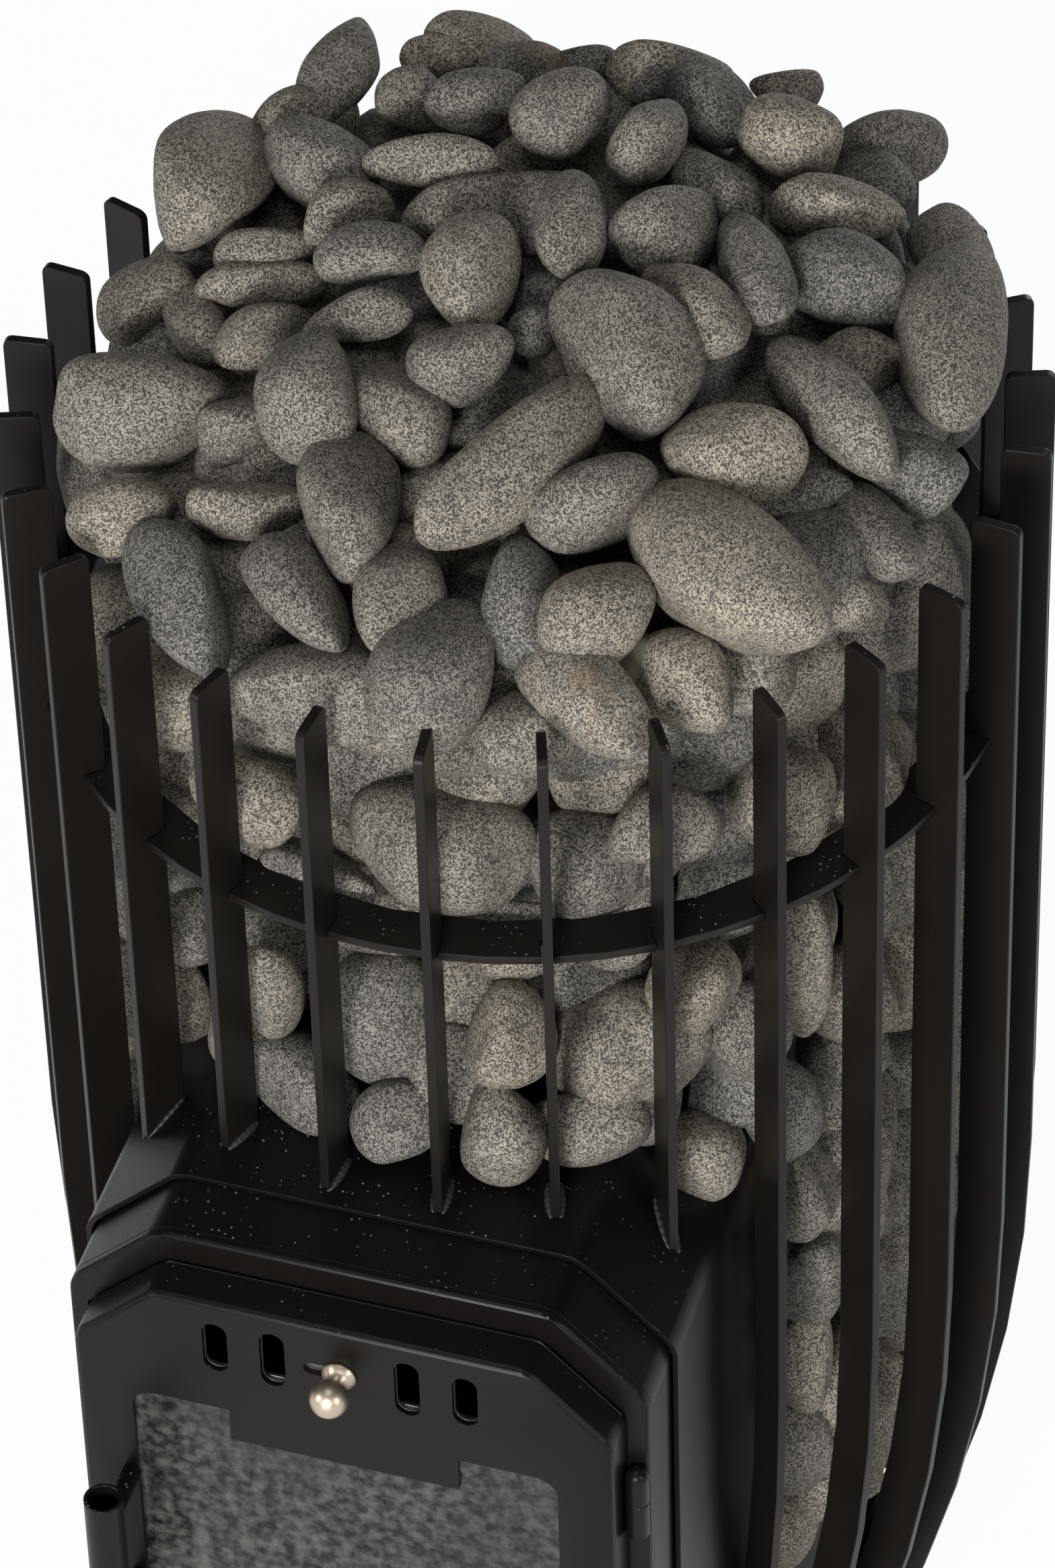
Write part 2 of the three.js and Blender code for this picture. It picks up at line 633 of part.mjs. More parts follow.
// Space for the stones inside the bars, cleared for the ring
const cavityR = (z) => FIN_IN_R - STONE_GAP - bendInset(z, FIN_BEND_R - FIN_DEPTH);
const heapFloor = CROWN_TOP_Z + STONE_GAP;
const heapTop = 2 * FIN_TOP_Z;
const cavityProfile = [
  [0, SIDE_STONE_Z],
  [cavityR(SIDE_STONE_Z), SIDE_STONE_Z],
  [cavityR((SIDE_STONE_Z + FIN_BEND_Z) / 2), (SIDE_STONE_Z + FIN_BEND_Z) / 2],
  [cavityR(FIN_BEND_Z), FIN_BEND_Z],
  [cavityR(FIN_TOP_Z), heapTop],
  [0, heapTop],
];
const ringKeepOut = solid(lathe([
  [RING_IN_R - STONE_GAP, RING_Z - RING_THICK - STONE_GAP],
  [2 * CAGE_R, RING_Z - RING_THICK - STONE_GAP],
  [2 * CAGE_R, RING_Z + STONE_GAP],
  [RING_IN_R - STONE_GAP, RING_Z + STONE_GAP],
  [RING_IN_R - STONE_GAP, RING_Z - RING_THICK - STONE_GAP],
], FIN_COUNT));
const cavity = solid(lathe(cavityProfile, FIN_COUNT)).subtract(ringKeepOut);

// Heap over the rim: a mound of stones that rises to the back
const stoneUnit = FIN_IN_R / 100;
function moundZ(x, y) {
  const out = Math.min(Math.hypot(x, y) / FIN_IN_R, 1);
  return FIN_TOP_Z + HEAP_LIFT + HEAP_SWELL * (1 - out * out) + (HEAP_TILT * y) / FIN_IN_R;
}
const heapStones = HEAP_STONES.map(([across, back, long, thick, degrees], i) => {
  const x = across * stoneUnit;
  const y = back * stoneUnit;
  const half = [(long * stoneUnit) / 2, (thick * stoneUnit) / 2, (thick * stoneUnit) / 2];
  return stoneBody([x, y, moundZ(x, y)], half, (degrees * Math.PI) / 180, i);
});

// Stones along the bars: the ones in front by their places, the others in rows
function wallStone(angle, z, wide, tall, seed) {
  const depth = Math.min(wide, tall, (cavityR(z - tall / 2) - BOX_R - BAR_CLEAR) / STONE_BULGE);
  const r = cavityR(z - tall / 2) - (depth / 2) * STONE_BULGE - BAR_CLEAR;
  const place = [r * Math.cos(angle), r * Math.sin(angle), z];
  return stoneBody(place, [depth / 2, wide / 2, tall / 2], angle, seed);
}
function stoneRows(z0, z1, count, firstSeed, lean) {
  const stones = [];
  const rowH = (z1 - z0) / count;
  const pitch = (Math.PI * (FIN_IN_R + BOX_R)) / WALL_COUNT;
  for (let i = 0; i < count * WALL_COUNT; i += 1) {
    const row = Math.floor(i / WALL_COUNT);
    const seed = firstSeed + i;
    const turn = ((i % WALL_COUNT) + (row % 2) / 2 + STONE_STRAY * noise(seed)) / WALL_COUNT;
    const angle = (turn - 0.25) * 2 * Math.PI;
    const z = z0 + (row + 0.5) * (rowH + (lean * Math.sin(angle)) / count);
    const fromFront = Math.min(turn, 1 - turn);
    const byFlue = Math.abs(z - FLUE_Z) < FLUE_R + rowH / 2 && fromFront > 0.5 - FLUE_SPAN;
    if (fromFront > FRONT_SPAN && !byFlue) {
      stones.push(wallStone(angle, z, pitch, rowH / STONE_BULGE, seed));
    }
  }
  return stones;
}
const frontStones = FRONT_STONES.map(([degrees, rise, wide, tall], i) => {
  const angle = -Math.PI / 2 + (degrees * Math.PI) / 180;
  return wallStone(angle, ROOF_Z + rise * stoneUnit, wide * stoneUnit, tall * stoneUnit, 100 + i);
});
const upperRows = stoneRows(heapFloor, FIN_TOP_Z - CORE_DROP, UPPER_ROWS, 200, HEAP_TILT);

const coreR = FIN_IN_R - CORE_INSET;
const coreProfile = [
  [0, heapFloor - 2 * CUT],
  [coreR, heapFloor - 2 * CUT],
  [coreR, moundZ(coreR, 0) - 2 * CORE_DROP],
  [coreR * 0.8, moundZ(coreR * 0.8, 0) - CORE_DROP],
  [coreR * 0.4, moundZ(coreR * 0.4, 0) - CORE_DROP],
  [0, moundZ(0, 0) - CORE_DROP],
];
const coreGeometry = lathe(coreProfile, WALL_COUNT);
coreGeometry.applyMatrix4(new THREE.Matrix4().makeShear(0, 0, 0, HEAP_TILT / FIN_IN_R, 0, 0));
const heapCore = solid(coreGeometry);
const aboveCrown = box(-CAGE_R, CAGE_R, -CAGE_R, CAGE_R, heapFloor, heapTop);
const heap = unite([heapCore, ...heapStones, ...frontStones, ...upperRows])
  .intersect(cavity).intersect(aboveCrown);

// Beds beside the firebox, left and right of the tunnel and the flue
const bedTop = heapFloor - STONE_GAP;
const bedCoreR = (z) => (cavityR(z) + BOX_R) / 2;
const bedCore = solid(lathe([
  [BOX_R - BOX_WALL, SIDE_STONE_Z - CUT],
  [bedCoreR(SIDE_STONE_Z), SIDE_STONE_Z - CUT],
  [bedCoreR(SIDE_STONE_Z), SIDE_STONE_Z],
  [bedCoreR(FIN_BEND_Z), FIN_BEND_Z],
  [bedCoreR(FIN_BEND_Z), bedTop + CUT],
  [BOX_R - BOX_WALL, bedTop + CUT],
  [BOX_R - BOX_WALL, SIDE_STONE_Z - CUT],
], WALL_COUNT));
const stoneSleeve = portalSolid(
  SLEEVE_W / 2 + STONE_GAP,
  ROOF_Z + STONE_GAP,
  -CUT,
  SLEEVE_CHAMFER + STONE_GAP * (2 - Math.SQRT2),
  -2 * CAGE_R,
  NECK_BACK_Y + STONE_GAP,
);
const stoneFlue = solid(rodY(FLUE_R + FLUE_STONE_GAP, 0, 2 * CAGE_R, 0, FLUE_Z, FIN_COUNT));
const stoneBox = solid(post(BOX_R + 2 * STONE_GAP, 0, heapTop, FIN_COUNT));
const underCrown = box(-CAGE_R, CAGE_R, -CAGE_R, CAGE_R, SIDE_STONE_Z, bedTop);
const bedRows = stoneRows(SIDE_STONE_Z, bedTop, BED_ROWS, 300, 0);
const bed = unite([bedCore, ...bedRows, ...frontStones]).intersect(cavity).intersect(underCrown)
  .subtract(stoneSleeve).subtract(stoneFlue).subtract(stoneBox);
const leftHalf = box(-CAGE_R, -STONE_GAP / 2, -CAGE_R, CAGE_R, 0, heapTop);
const rightHalf = box(STONE_GAP / 2, CAGE_R, -CAGE_R, CAGE_R, 0, heapTop);
add(stove, 'stones_heap', outerSkin(heap), stone);
add(stove, 'stones_left', outerSkin(bed.intersect(leftHalf)), stone);
add(stove, 'stones_right', outerSkin(bed.intersect(rightHalf)), stone);

// Door: a bent tray with window, air slots and a slot for the slider's stem
const trayOuter = portal(DOOR_W / 2, DOOR_TOP_Z, DOOR_BOT_Z, DOOR_CHAMFER);
const tray = roundedPush(trayOuter, DOOR_FRONT_Y, DOOR_BACK_Y, DOOR_EDGE_R);
const trayHollow = portalSolid(
  DOOR_W / 2 - DOOR_SHEET,
  DOOR_TOP_Z - DOOR_SHEET,
  DOOR_BOT_Z + DOOR_SHEET,
  DOOR_CHAMFER - DOOR_SHEET * (2 - Math.SQRT2),
  DOOR_INNER_Y,
  DOOR_BACK_Y + CUT,
);
const windowTop = DOOR_TOP_Z - WINDOW_DROP;
const windowBot = DOOR_BOT_Z + WINDOW_FOOT;
const windowShape = roundedRect(-WINDOW_W / 2, WINDOW_W / 2, windowBot, windowTop, WINDOW_R);
const pane = solid(pushY(windowShape, DOOR_FRONT_Y - CUT, DOOR_INNER_Y + 1));
const tab = box(
  -TAB_W / 2,
  TAB_W / 2,
  DOOR_FRONT_Y - 2 * CUT,
  DOOR_INNER_Y + CUT,
  windowTop - TAB_H,
  windowTop + CUT,
);
const slotZ = DOOR_TOP_Z - SLOT_DROP;
function airSlots(y0, y1) {
  return [-SLOT_OUTER_X, -SLOT_INNER_X, SLOT_INNER_X, SLOT_OUTER_X].map((x) => {
    const height = Math.abs(x) === SLOT_OUTER_X ? SLOT_OUTER_H : SLOT_INNER_H;
    return solid(pushY(obround(x, slotZ, SLOT_W, height), y0, y1));
  });
}
const stemW = SLIDER_TRAVEL + 2 * (STEM_R + RUN_GAP);
const stemSlot = obround(-SLIDER_TRAVEL / 2, slotZ, stemW, 2 * (STEM_R + RUN_GAP));
const slotCuts = airSlots(DOOR_FRONT_Y - CUT, DOOR_INNER_Y + 1);
slotCuts.push(solid(pushY(stemSlot, DOOR_FRONT_Y - CUT, DOOR_INNER_Y + 1)));
const blank = tray.subtract(trayHollow).subtract(pane.subtract(tab));
const panel = slotCuts.reduce((body, cut) => body.subtract(cut), blank);
add(doorGroup, 'door_panel', panel, paint);

const sealHalf = DOOR_W / 2 - DOOR_SHEET;
const sealOut = portalSolid(
  sealHalf, DOOR_TOP_Z - DOOR_SHEET, DOOR_BOT_Z + DOOR_SHEET,
  DOOR_CHAMFER - DOOR_SHEET * (2 - Math.SQRT2), DOOR_BACK_Y + GAP, DOOR_BACK_Y + GAP + SEAL_THICK,
);
const sealIn = portalSolid(
  sealHalf - SEAL_W, DOOR_TOP_Z - DOOR_SHEET - SEAL_W, DOOR_BOT_Z + DOOR_SHEET + SEAL_W,
  DOOR_CHAMFER - (DOOR_SHEET + SEAL_W) * (2 - Math.SQRT2), DOOR_BACK_Y - CUT, DOOR_BACK_Y + CUT,
);
add(doorGroup, 'door_seal', sealOut.subtract(sealIn), rope);

const glassHalf = WINDOW_W / 2 + GLASS_LAP;
const glassY = DOOR_INNER_Y + GAP;
const glassBack = glassY + GLASS_THICK;
add(doorGroup, 'door_glass', box(
  -glassHalf, glassHalf, glassY, glassBack, windowBot - GLASS_LAP, windowTop + GLASS_LAP), glass);
const keepY = glassBack + GAP;
const keepOut = box(
  -glassHalf, glassHalf, keepY, keepY + RETAINER_THICK, windowBot - GLASS_LAP, windowTop + GLASS_LAP);
const keepIn = box(
  -glassHalf + RETAINER_W, glassHalf - RETAINER_W, keepY - CUT, keepY + CUT,
  windowBot - GLASS_LAP + RETAINER_W, windowTop + GLASS_LAP - RETAINER_W);
add(doorGroup, 'glass_retainer', keepOut.subtract(keepIn), steel);

// Air slider behind the slots, with its knob and guides
const sliderY = DOOR_INNER_Y + GAP;
const sliderBack = sliderY + SLIDER_THICK;
const sliderFoot = slotZ - SLIDER_H / 2;
const sliderPlate = box(
  -SLIDER_W / 2,
  SLIDER_W / 2,
  sliderY,
  sliderBack,
  sliderFoot,
  sliderFoot + SLIDER_H,
);
const sliderCuts = airSlots(sliderY - CUT, sliderBack + CUT);
const sliderBody = sliderCuts.reduce((body, cut) => body.subtract(cut), sliderPlate);
add(sliderGroup, 'air_slider', sliderBody, steel);
const knobProfile = [[0, 0], [KNOB_BASE_R, 0], [KNOB_BASE_R, 2], [STEM_R * 1.6, 6]];
for (let i = 0; i <= 8; i += 1) {
  const a = Math.PI * (0.86 - (0.86 * i) / 8);
  const out = i === 8 ? 0 : KNOB_R * Math.sin(a);
  knobProfile.push([out, KNOB_REACH - KNOB_R - KNOB_R * Math.cos(Math.PI - a)]);
}
const knobLathe = new THREE.LatheGeometry(knobProfile.map(([r, z]) => new THREE.Vector2(r, z)), 12);
knobLathe.rotateX(Math.PI);
knobLathe.translate(0, DOOR_FRONT_Y - GAP, slotZ);
const stem = solid(rodY(STEM_R, DOOR_FRONT_Y - GAP - 1, sliderY - GAP, 0, slotZ, 16));
add(sliderGroup, 'air_knob', solid(knobLathe).add(stem), nickel);
function guide(name, side) {
  const edge = slotZ + (side * SLIDER_H) / 2;
  const inner = edge - side * GUIDE_LAP;
  const outer = edge + side * (GUIDE_LAP + GAP);
  const z = [Math.min(inner, outer), Math.max(inner, outer)];
  const rail = box(
    -SLIDER_W / 2, SLIDER_W / 2, sliderBack + GAP, sliderBack + GAP + GUIDE_THICK, z[0], z[1]);
  const wall = [Math.min(edge + side * GAP, outer), Math.max(edge + side * GAP, outer)];
  const web = box(-SLIDER_W / 2, SLIDER_W / 2, sliderY, sliderBack + GAP + GUIDE_THICK, wall[0], wall[1]);
  add(doorGroup, name, rail.add(web), steel);
}
guide('slider_guide_upper', 1);
guide('slider_guide_lower', -1);

// Handle: an upright tube on two arms
const handleTop = DOOR_TOP_Z - HANDLE_DROP;
const handleY = DOOR_FRONT_Y - HANDLE_STANDOFF;
const tubeProfile = [
  [HANDLE_R - HANDLE_WALL, handleTop - HANDLE_L],
  [HANDLE_R, handleTop - HANDLE_L],
  [HANDLE_R, handleTop],
  [HANDLE_R - HANDLE_WALL, handleTop],
  [HANDLE_R - HANDLE_WALL, handleTop - HANDLE_L],
];
const tube = lathe(tubeProfile, 24);
tube.translate(HANDLE_X, handleY, 0);
add(doorGroup, 'door_handle', tube, nickel);
function arm(name, z) {
  const rod = solid(rodY(ARM_R, handleY, DOOR_FRONT_Y - GAP, HANDLE_X, z, 16));
  const tubeCut = post(HANDLE_R + GAP, z - CUT, z + CUT, 24);
  tubeCut.translate(HANDLE_X, handleY, 0);
  add(doorGroup, name, rod.subtract(solid(tubeCut)), paint);
}
arm('handle_arm_upper', handleTop - ARM_INSET);
arm('handle_arm_lower', handleTop - HANDLE_L + ARM_INSET);

// Hinges: a lower knuckle with its pin on the frame, an upper knuckle on the door
const hingeX = DOOR_W / 2 + KNUCKLE_R + GAP;
const hingeY = FRAME_FRONT_Y - KNUCKLE_R - GAP;
function hinge(label, capZ) {
  const split = capZ - KNUCKLE_H;
  const foot = split - KNUCKLE_H;
  const dome = [
    [PIN_R + GAP, split + GAP],
    [KNUCKLE_R, split + GAP],
    [KNUCKLE_R, capZ - KNUCKLE_R],
    [KNUCKLE_R * 0.87, capZ - KNUCKLE_R * 0.5],
    [KNUCKLE_R * 0.5, capZ - KNUCKLE_R * 0.13],
    [0, capZ],
    [0, capZ - KNUCKLE_R],
    [PIN_R + GAP, capZ - KNUCKLE_R],
    [PIN_R + GAP, split + GAP],
  ];
  const upper = lathe(dome, 12);
  upper.translate(hingeX, hingeY, 0);
  add(doorGroup, `hinge_${label}_door_knuckle`, upper, paint);
  const lower = solid(post(KNUCKLE_R, foot, split, 12));
  const pin = solid(post(PIN_R, split - 1, capZ - KNUCKLE_R - GAP, 12));
  const fixed = geometryOf(lower.add(pin));
  fixed.translate(hingeX, hingeY, 0);
  add(stove, `hinge_${label}_frame_knuckle`, fixed, paint);
}
hinge('upper', DOOR_TOP_Z - HINGE_UPPER_DROP);
hinge('lower', DOOR_BOT_Z + HINGE_LOWER_RISE + 2 * KNUCKLE_H);

// Ash drawer on the base plate
const trayBot = FLOOR_Z + GAP;
const drawerY = FRAME_FRONT_Y - GAP;
const drawerOut = box(-DRAWER_W / 2, DRAWER_W / 2, drawerY, drawerY + DRAWER_L, trayBot, trayBot + DRAWER_H);
const drawerIn = box(
  -DRAWER_W / 2 + DRAWER_SHEET, DRAWER_W / 2 - DRAWER_SHEET,
  drawerY + DRAWER_SHEET, drawerY + DRAWER_L - DRAWER_SHEET,
  trayBot + DRAWER_SHEET, trayBot + DRAWER_H + CUT);
const frontHalf = DRAWER_W / 2 + DRAWER_FRONT_LAP;
const drawerFront = box(
  -frontHalf, frontHalf, drawerY - DRAWER_FRONT_THICK, drawerY,
  trayBot, trayBot + DRAWER_H + DRAWER_FRONT_LAP);
const pullZ = trayBot + DRAWER_H * 0.7;
const pull = solid(pushY(obround(0, pullZ, PULL_W, PULL_H), drawerY - CUT, drawerY + DRAWER_SHEET + CUT));
add(drawerGroup, 'ash_drawer', drawerOut.subtract(drawerIn).add(drawerFront).subtract(pull), paint);

export default stove;
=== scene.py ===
# %% [markdown]
# A wood-burning sauna stove: a round cage of standing bars full of stones, with a tunnel that
# runs through the stones to a glazed door. The imported solids come first, because every piece
# below is measured from them.

# %% Load the imported solids
import json
import math
import random

import bmesh
import bpy
from mathutils import Matrix, Vector, noise


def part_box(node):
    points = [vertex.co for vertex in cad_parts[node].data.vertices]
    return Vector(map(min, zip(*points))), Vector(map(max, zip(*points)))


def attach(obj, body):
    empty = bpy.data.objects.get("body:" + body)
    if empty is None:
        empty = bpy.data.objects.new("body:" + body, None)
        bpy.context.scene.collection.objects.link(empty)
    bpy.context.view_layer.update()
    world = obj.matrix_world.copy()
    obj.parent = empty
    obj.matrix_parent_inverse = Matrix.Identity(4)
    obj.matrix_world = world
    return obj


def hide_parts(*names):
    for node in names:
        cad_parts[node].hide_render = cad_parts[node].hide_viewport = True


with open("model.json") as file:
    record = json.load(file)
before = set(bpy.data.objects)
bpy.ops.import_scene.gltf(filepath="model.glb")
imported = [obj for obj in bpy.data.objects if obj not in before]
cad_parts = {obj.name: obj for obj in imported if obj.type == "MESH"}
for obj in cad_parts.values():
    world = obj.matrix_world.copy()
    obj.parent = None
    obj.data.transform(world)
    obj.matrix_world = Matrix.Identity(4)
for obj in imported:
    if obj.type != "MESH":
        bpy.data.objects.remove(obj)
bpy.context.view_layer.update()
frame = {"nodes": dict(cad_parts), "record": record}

MM = 0.001
UP = Vector((0, 0, 1))

# %% [markdown]
# The camera stands high in front and a little to the right, with a long lens, so the upright bars
# hardly converge. It could be dragged into place by hand. Here it is worked out from the point it
# looks at, its distance and three angles, so that each of them can be changed by itself. The focal
# length is given in pixels of a picture of a known height.

# %% Camera
PICTURE_H = 2331
SENSOR = 36.0
FOCAL_PX = 12000.0
FAR_CLIP = 50.0
LOOK_AT = Vector((-0.0039, 0.0, 0.5919))
DISTANCE = 4.147
PITCH, AZIMUTH, ROLL = math.radians(44.18), math.radians(18.49), math.radians(-1.8)

VIEW_FORWARD = Vector((
    -math.sin(AZIMUTH) * math.cos(PITCH),
    math.cos(AZIMUTH) * math.cos(PITCH),
    -math.sin(PITCH),
))
level_right = Vector((math.cos(AZIMUTH), math.sin(AZIMUTH), 0.0))
level_up = level_right.cross(VIEW_FORWARD)
view_right = math.cos(ROLL) * level_right + math.sin(ROLL) * level_up
view_up = -math.sin(ROLL) * level_right + math.cos(ROLL) * level_up
eye = LOOK_AT - DISTANCE * VIEW_FORWARD

lens = bpy.data.cameras.new("studio_camera")
lens.sensor_fit = "AUTO"
lens.sensor_width = SENSOR
lens.lens = FOCAL_PX / PICTURE_H * SENSOR
lens.clip_end = FAR_CLIP
camera = bpy.data.objects.new("studio_camera", lens)
bpy.context.scene.collection.objects.link(camera)
turn = Matrix((view_right, view_up, -VIEW_FORWARD)).transposed()
camera.matrix_world = Matrix.Translation(eye) @ turn.to_4x4()
bpy.context.scene.camera = camera
print("lens", round(lens.lens, 1), "mm, eye at", [round(v, 2) for v in eye])

# %% [markdown]
# Finishes are written as sums, because a tree of nodes is hard to read as code. A small class
# wraps a socket so that plus, minus and times add Math nodes by themselves, also with a number
# on the left. One more method turns a value into a mask with a soft edge.

# %% Sums on sockets


class Wire:
    def __init__(self, finish, socket):
        self.finish = finish
        self.socket = socket

    def __add__(self, other):
        return self.finish.math("ADD", self, other)

    def __radd__(self, other):
        return self.finish.math("ADD", other, self)

    def __sub__(self, other):
        return self.finish.math("SUBTRACT", self, other)

    def __rsub__(self, other):
        return self.finish.math("SUBTRACT", other, self)

    def __mul__(self, other):
        return self.finish.math("MULTIPLY", self, other)

    def __rmul__(self, other):
        return self.finish.math("MULTIPLY", other, self)

    def over(self, edge, soft):
        """0 below edge - soft, 1 above edge + soft."""
        settings = {"interpolation_type": "SMOOTHSTEP"}
        inputs = {"Value": self, "From Min": edge - soft, "From Max": edge + soft}
        return self.finish.node("ShaderNodeMapRange", settings, inputs)


print("sums on sockets ready")

# %% [markdown]
# A finish is one material. One method makes any node from its type, its settings and its inputs,
# and a few short ones give the textures that come up again and again: soft noise, cells and a
# blend of two colours. All of them read Object coordinates, so a pattern stays on its piece.

# %% One finish
MIX_FACTOR, MIX_A, MIX_B, MIX_COLOUR = 0, 6, 7, 2


class Finish:
    def __init__(self, name, **constants):
        self.material = bpy.data.materials.new(name)
        self.material.use_nodes = True
        self.tree = self.material.node_tree
        self.shader = self.tree.nodes["Principled BSDF"]
        for key, value in constants.items():
            self.shader.inputs[self.socket_name(key)].default_value = value

    def socket_name(self, key):
        return key.replace("_", " ").title().replace("Ior", "IOR")

    def node(self, kind, settings=None, inputs=None, out=0):
        made = self.tree.nodes.new(kind)
        for key, value in (settings or {}).items():
            setattr(made, key, value)
        for key, value in (inputs or {}).items():
            if isinstance(value, Wire):
                self.tree.links.new(value.socket, made.inputs[key])
            else:
                made.inputs[key].default_value = value
        return Wire(self, made.outputs[out])

    def math(self, operation, a, b):
        return self.node("ShaderNodeMath", {"operation": operation}, {0: a, 1: b})

    def place(self):
        return self.node("ShaderNodeTexCoord", out="Object")

    def facing_up(self):
        normal = self.node("ShaderNodeTexCoord", out="Normal")
        return self.node("ShaderNodeSeparateXYZ", None, {0: normal}, out="Z")

    def grain(self, scale, detail=3.0, rough=0.55):
        inputs = {"Vector": self.place(), "Scale": scale, "Detail": detail, "Roughness": rough}
        return self.node("ShaderNodeTexNoise", None, inputs)

    def cells(self, scale, out="Color"):
        inputs = {"Vector": self.place(), "Scale": scale}
        return self.node("ShaderNodeTexVoronoi", None, inputs, out)

    def blend(self, factor, a, b):
        inputs = {MIX_FACTOR: factor, MIX_A: a, MIX_B: b}
        for key in (MIX_A, MIX_B):
            if not isinstance(inputs[key], Wire):
                inputs[key] = (*inputs[key], 1.0)
        return self.node("ShaderNodeMix", {"data_type": "RGBA"}, inputs, MIX_COLOUR)

    def set(self, **inputs):
        for key, value in inputs.items():
            self.tree.links.new(value.socket, self.shader.inputs[self.socket_name(key)])
        return self

    def bump(self, height, strength, distance):
        inputs = {"Strength": strength, "Distance": distance, "Height": height}
        return self.node("ShaderNodeBump", None, inputs)


print("finish helper ready")

# %% [markdown]
# The steel is coated with a satin black paint for hot stoves. In soft light from the front it reads
# as a warm dark grey on faces towards the light and almost black elsewhere, so its own colour is
# very dark and its shine is low. Faces that look up carry a thin film of dust and a few pale
# specks. Both are masked by how far the surface faces up, which needs no painting by hand. The
# bars get a lighter copy of the same paint than the plates: painted light for the front light
# that their narrow faces catch.

# %% Black paint
# The bars' tone is lighter than the plates' tone as painted light, for the front light their narrow faces
# catch.
CAGE_TONE_PAINTED_LIGHTER = (0.0100, 0.0081, 0.0068)
PLATE_TONE = (0.0058, 0.0046, 0.0039)
FILM_TONE, SPECK_TONE = (0.16, 0.15, 0.135), (0.3, 0.28, 0.25)
FILM_SHARE, SPECK_SHARE = 0.012, 0.8


def black_paint(name, tone):
    paint = Finish(name, specular_ior_level=0.17)
    cloud = paint.grain(9.0, 4.0)
    fine = paint.grain(420.0, 2.0)
    clean = paint.cells(230.0, "Distance").over(0.13, 0.05)
    dusty = paint.grain(37.0, 2.0).over(0.53, 0.06)
    upward = paint.facing_up().over(0.75, 0.2)
    low = tuple(c * 0.75 for c in tone)
    high = tuple(c * 1.25 for c in tone)
    body = paint.blend(cloud, low, high)
    haze = paint.grain(3.0, 5.0).over(0.55, 0.2)
    film = paint.blend(haze * upward * FILM_SHARE, body, FILM_TONE)
    specks = (1.0 - clean) * dusty * upward * SPECK_SHARE
    colour = paint.blend(specks, film, SPECK_TONE)
    height = paint.grain(900.0, 2.0) * 0.5 + fine * 0.5
    paint.set(base_color=colour, roughness=0.28 + cloud * 0.1 + fine * 0.08)
    paint.set(normal=paint.bump(height, 0.14, 0.4 * MM))
    return paint.material


# The bars' copy of the paint is lighter than the plates' copy: painted light, not a different paint.
cage_black_painted_lighter = black_paint("cage_black_painted_lighter", CAGE_TONE_PAINTED_LIGHTER)
plate_black = black_paint("plate_black", PLATE_TONE)
print("paint", cage_black_painted_lighter.name, plate_black.name)

# %% [markdown]
# The other metals differ only in tone, roughness and grit, so one function makes them all: dull
# iron for the fire side, plain steel for the slider, pale satin nickel for the knob, and the weld
# seams, which carry the same black paint but get a lighter grey as painted sheen. The sealing rope
# round the door is rough and not metallic, and fits the same function.

# %% Metals and rope


def metal(name, tone, rough, metallic, grit):
    made = Finish(name, metallic=metallic)
    cloud = made.grain(14.0, 5.0)
    fine = made.grain(grit, 3.0)
    low = tuple(c * 0.75 for c in tone)
    high = tuple(min(1.0, c * 1.2) for c in tone)
    made.set(base_color=made.blend(cloud, low, high), roughness=rough - 0.08 + fine * 0.16)
    made.set(normal=made.bump(fine, 0.12, 0.3 * MM))
    return made.material


fire_iron = metal("fire_iron", (0.055, 0.052, 0.05), 0.75, 0.3, 260.0)
plain_steel = metal("plain_steel", (0.34, 0.33, 0.32), 0.42, 1.0, 500.0)
satin_nickel = metal("satin_nickel", (0.62, 0.53, 0.41), 0.4, 1.0, 700.0)
# The welds' grey tone is painted sheen: the seams are black paint like the bars.
weld_painted_sheen = metal("weld_painted_sheen", (0.03, 0.028, 0.026), 0.5, 0.0, 300.0)
seal_rope = metal("seal_rope", (0.1, 0.095, 0.09), 0.9, 0.0, 800.0)
print("metals ready")

# %% [markdown]
# The pane is heat-proof glass, dark with soot. It could be clear glass over a black box, but no
# light comes from behind it, so an opaque pane with a smooth surface looks the same and renders
# faster. Its mottled grey colour is a painted reflection of a speckled stone floor. Soot lies in
# wide, soft clouds over the mottle.

# %% Sooty glass
pane = Finish("dark_glass", specular_ior_level=0.2)
# The mottle is a painted reflection of a speckled floor, not a mark on the glass.
reflection_speckle_mask = pane.grain(130.0, 6.0, 0.62).over(0.52, 0.2)
soot = pane.grain(9.0, 4.0)
painted_floor_reflection = pane.blend(reflection_speckle_mask, (0.005, 0.005, 0.0046), (0.09, 0.085, 0.079))
# Real soot clouds darken the painted floor reflection.
soot_over_painted_reflection = pane.blend(soot.over(0.56, 0.16) * 0.5, painted_floor_reflection, (0.02, 0.02, 0.019))
pane.set(base_color=soot_over_painted_reflection, roughness=0.05 + soot * 0.08)
dark_glass = pane.material
print("glass", dark_glass.name)

# %% [markdown]
# Every new piece rides on a body, so that it moves with the door, the slider or the drawer, and
# hides the solids it stands for. The record that comes with the solids already names the body
# and the finish of each of them, so both are looked up there and not written again.

# %% Putting a piece into the scene
SLOTS = {row["node"]: row["material_slot"] for row in frame["record"]["subparts"]}
BODIES = {
    node: body for body, nodes in frame["record"]["behaviour"]["bodies"].items() for node in nodes}
PAINTS = {
    "cage_paint": cage_black_painted_lighter,
    "black_paint": plate_black,
    "fire_iron": fire_iron,
    "plain_steel": plain_steel,
    "nickel": satin_nickel,
    "handle": plate_black,
    "glass": dark_glass,
    "rope": seal_rope,
}


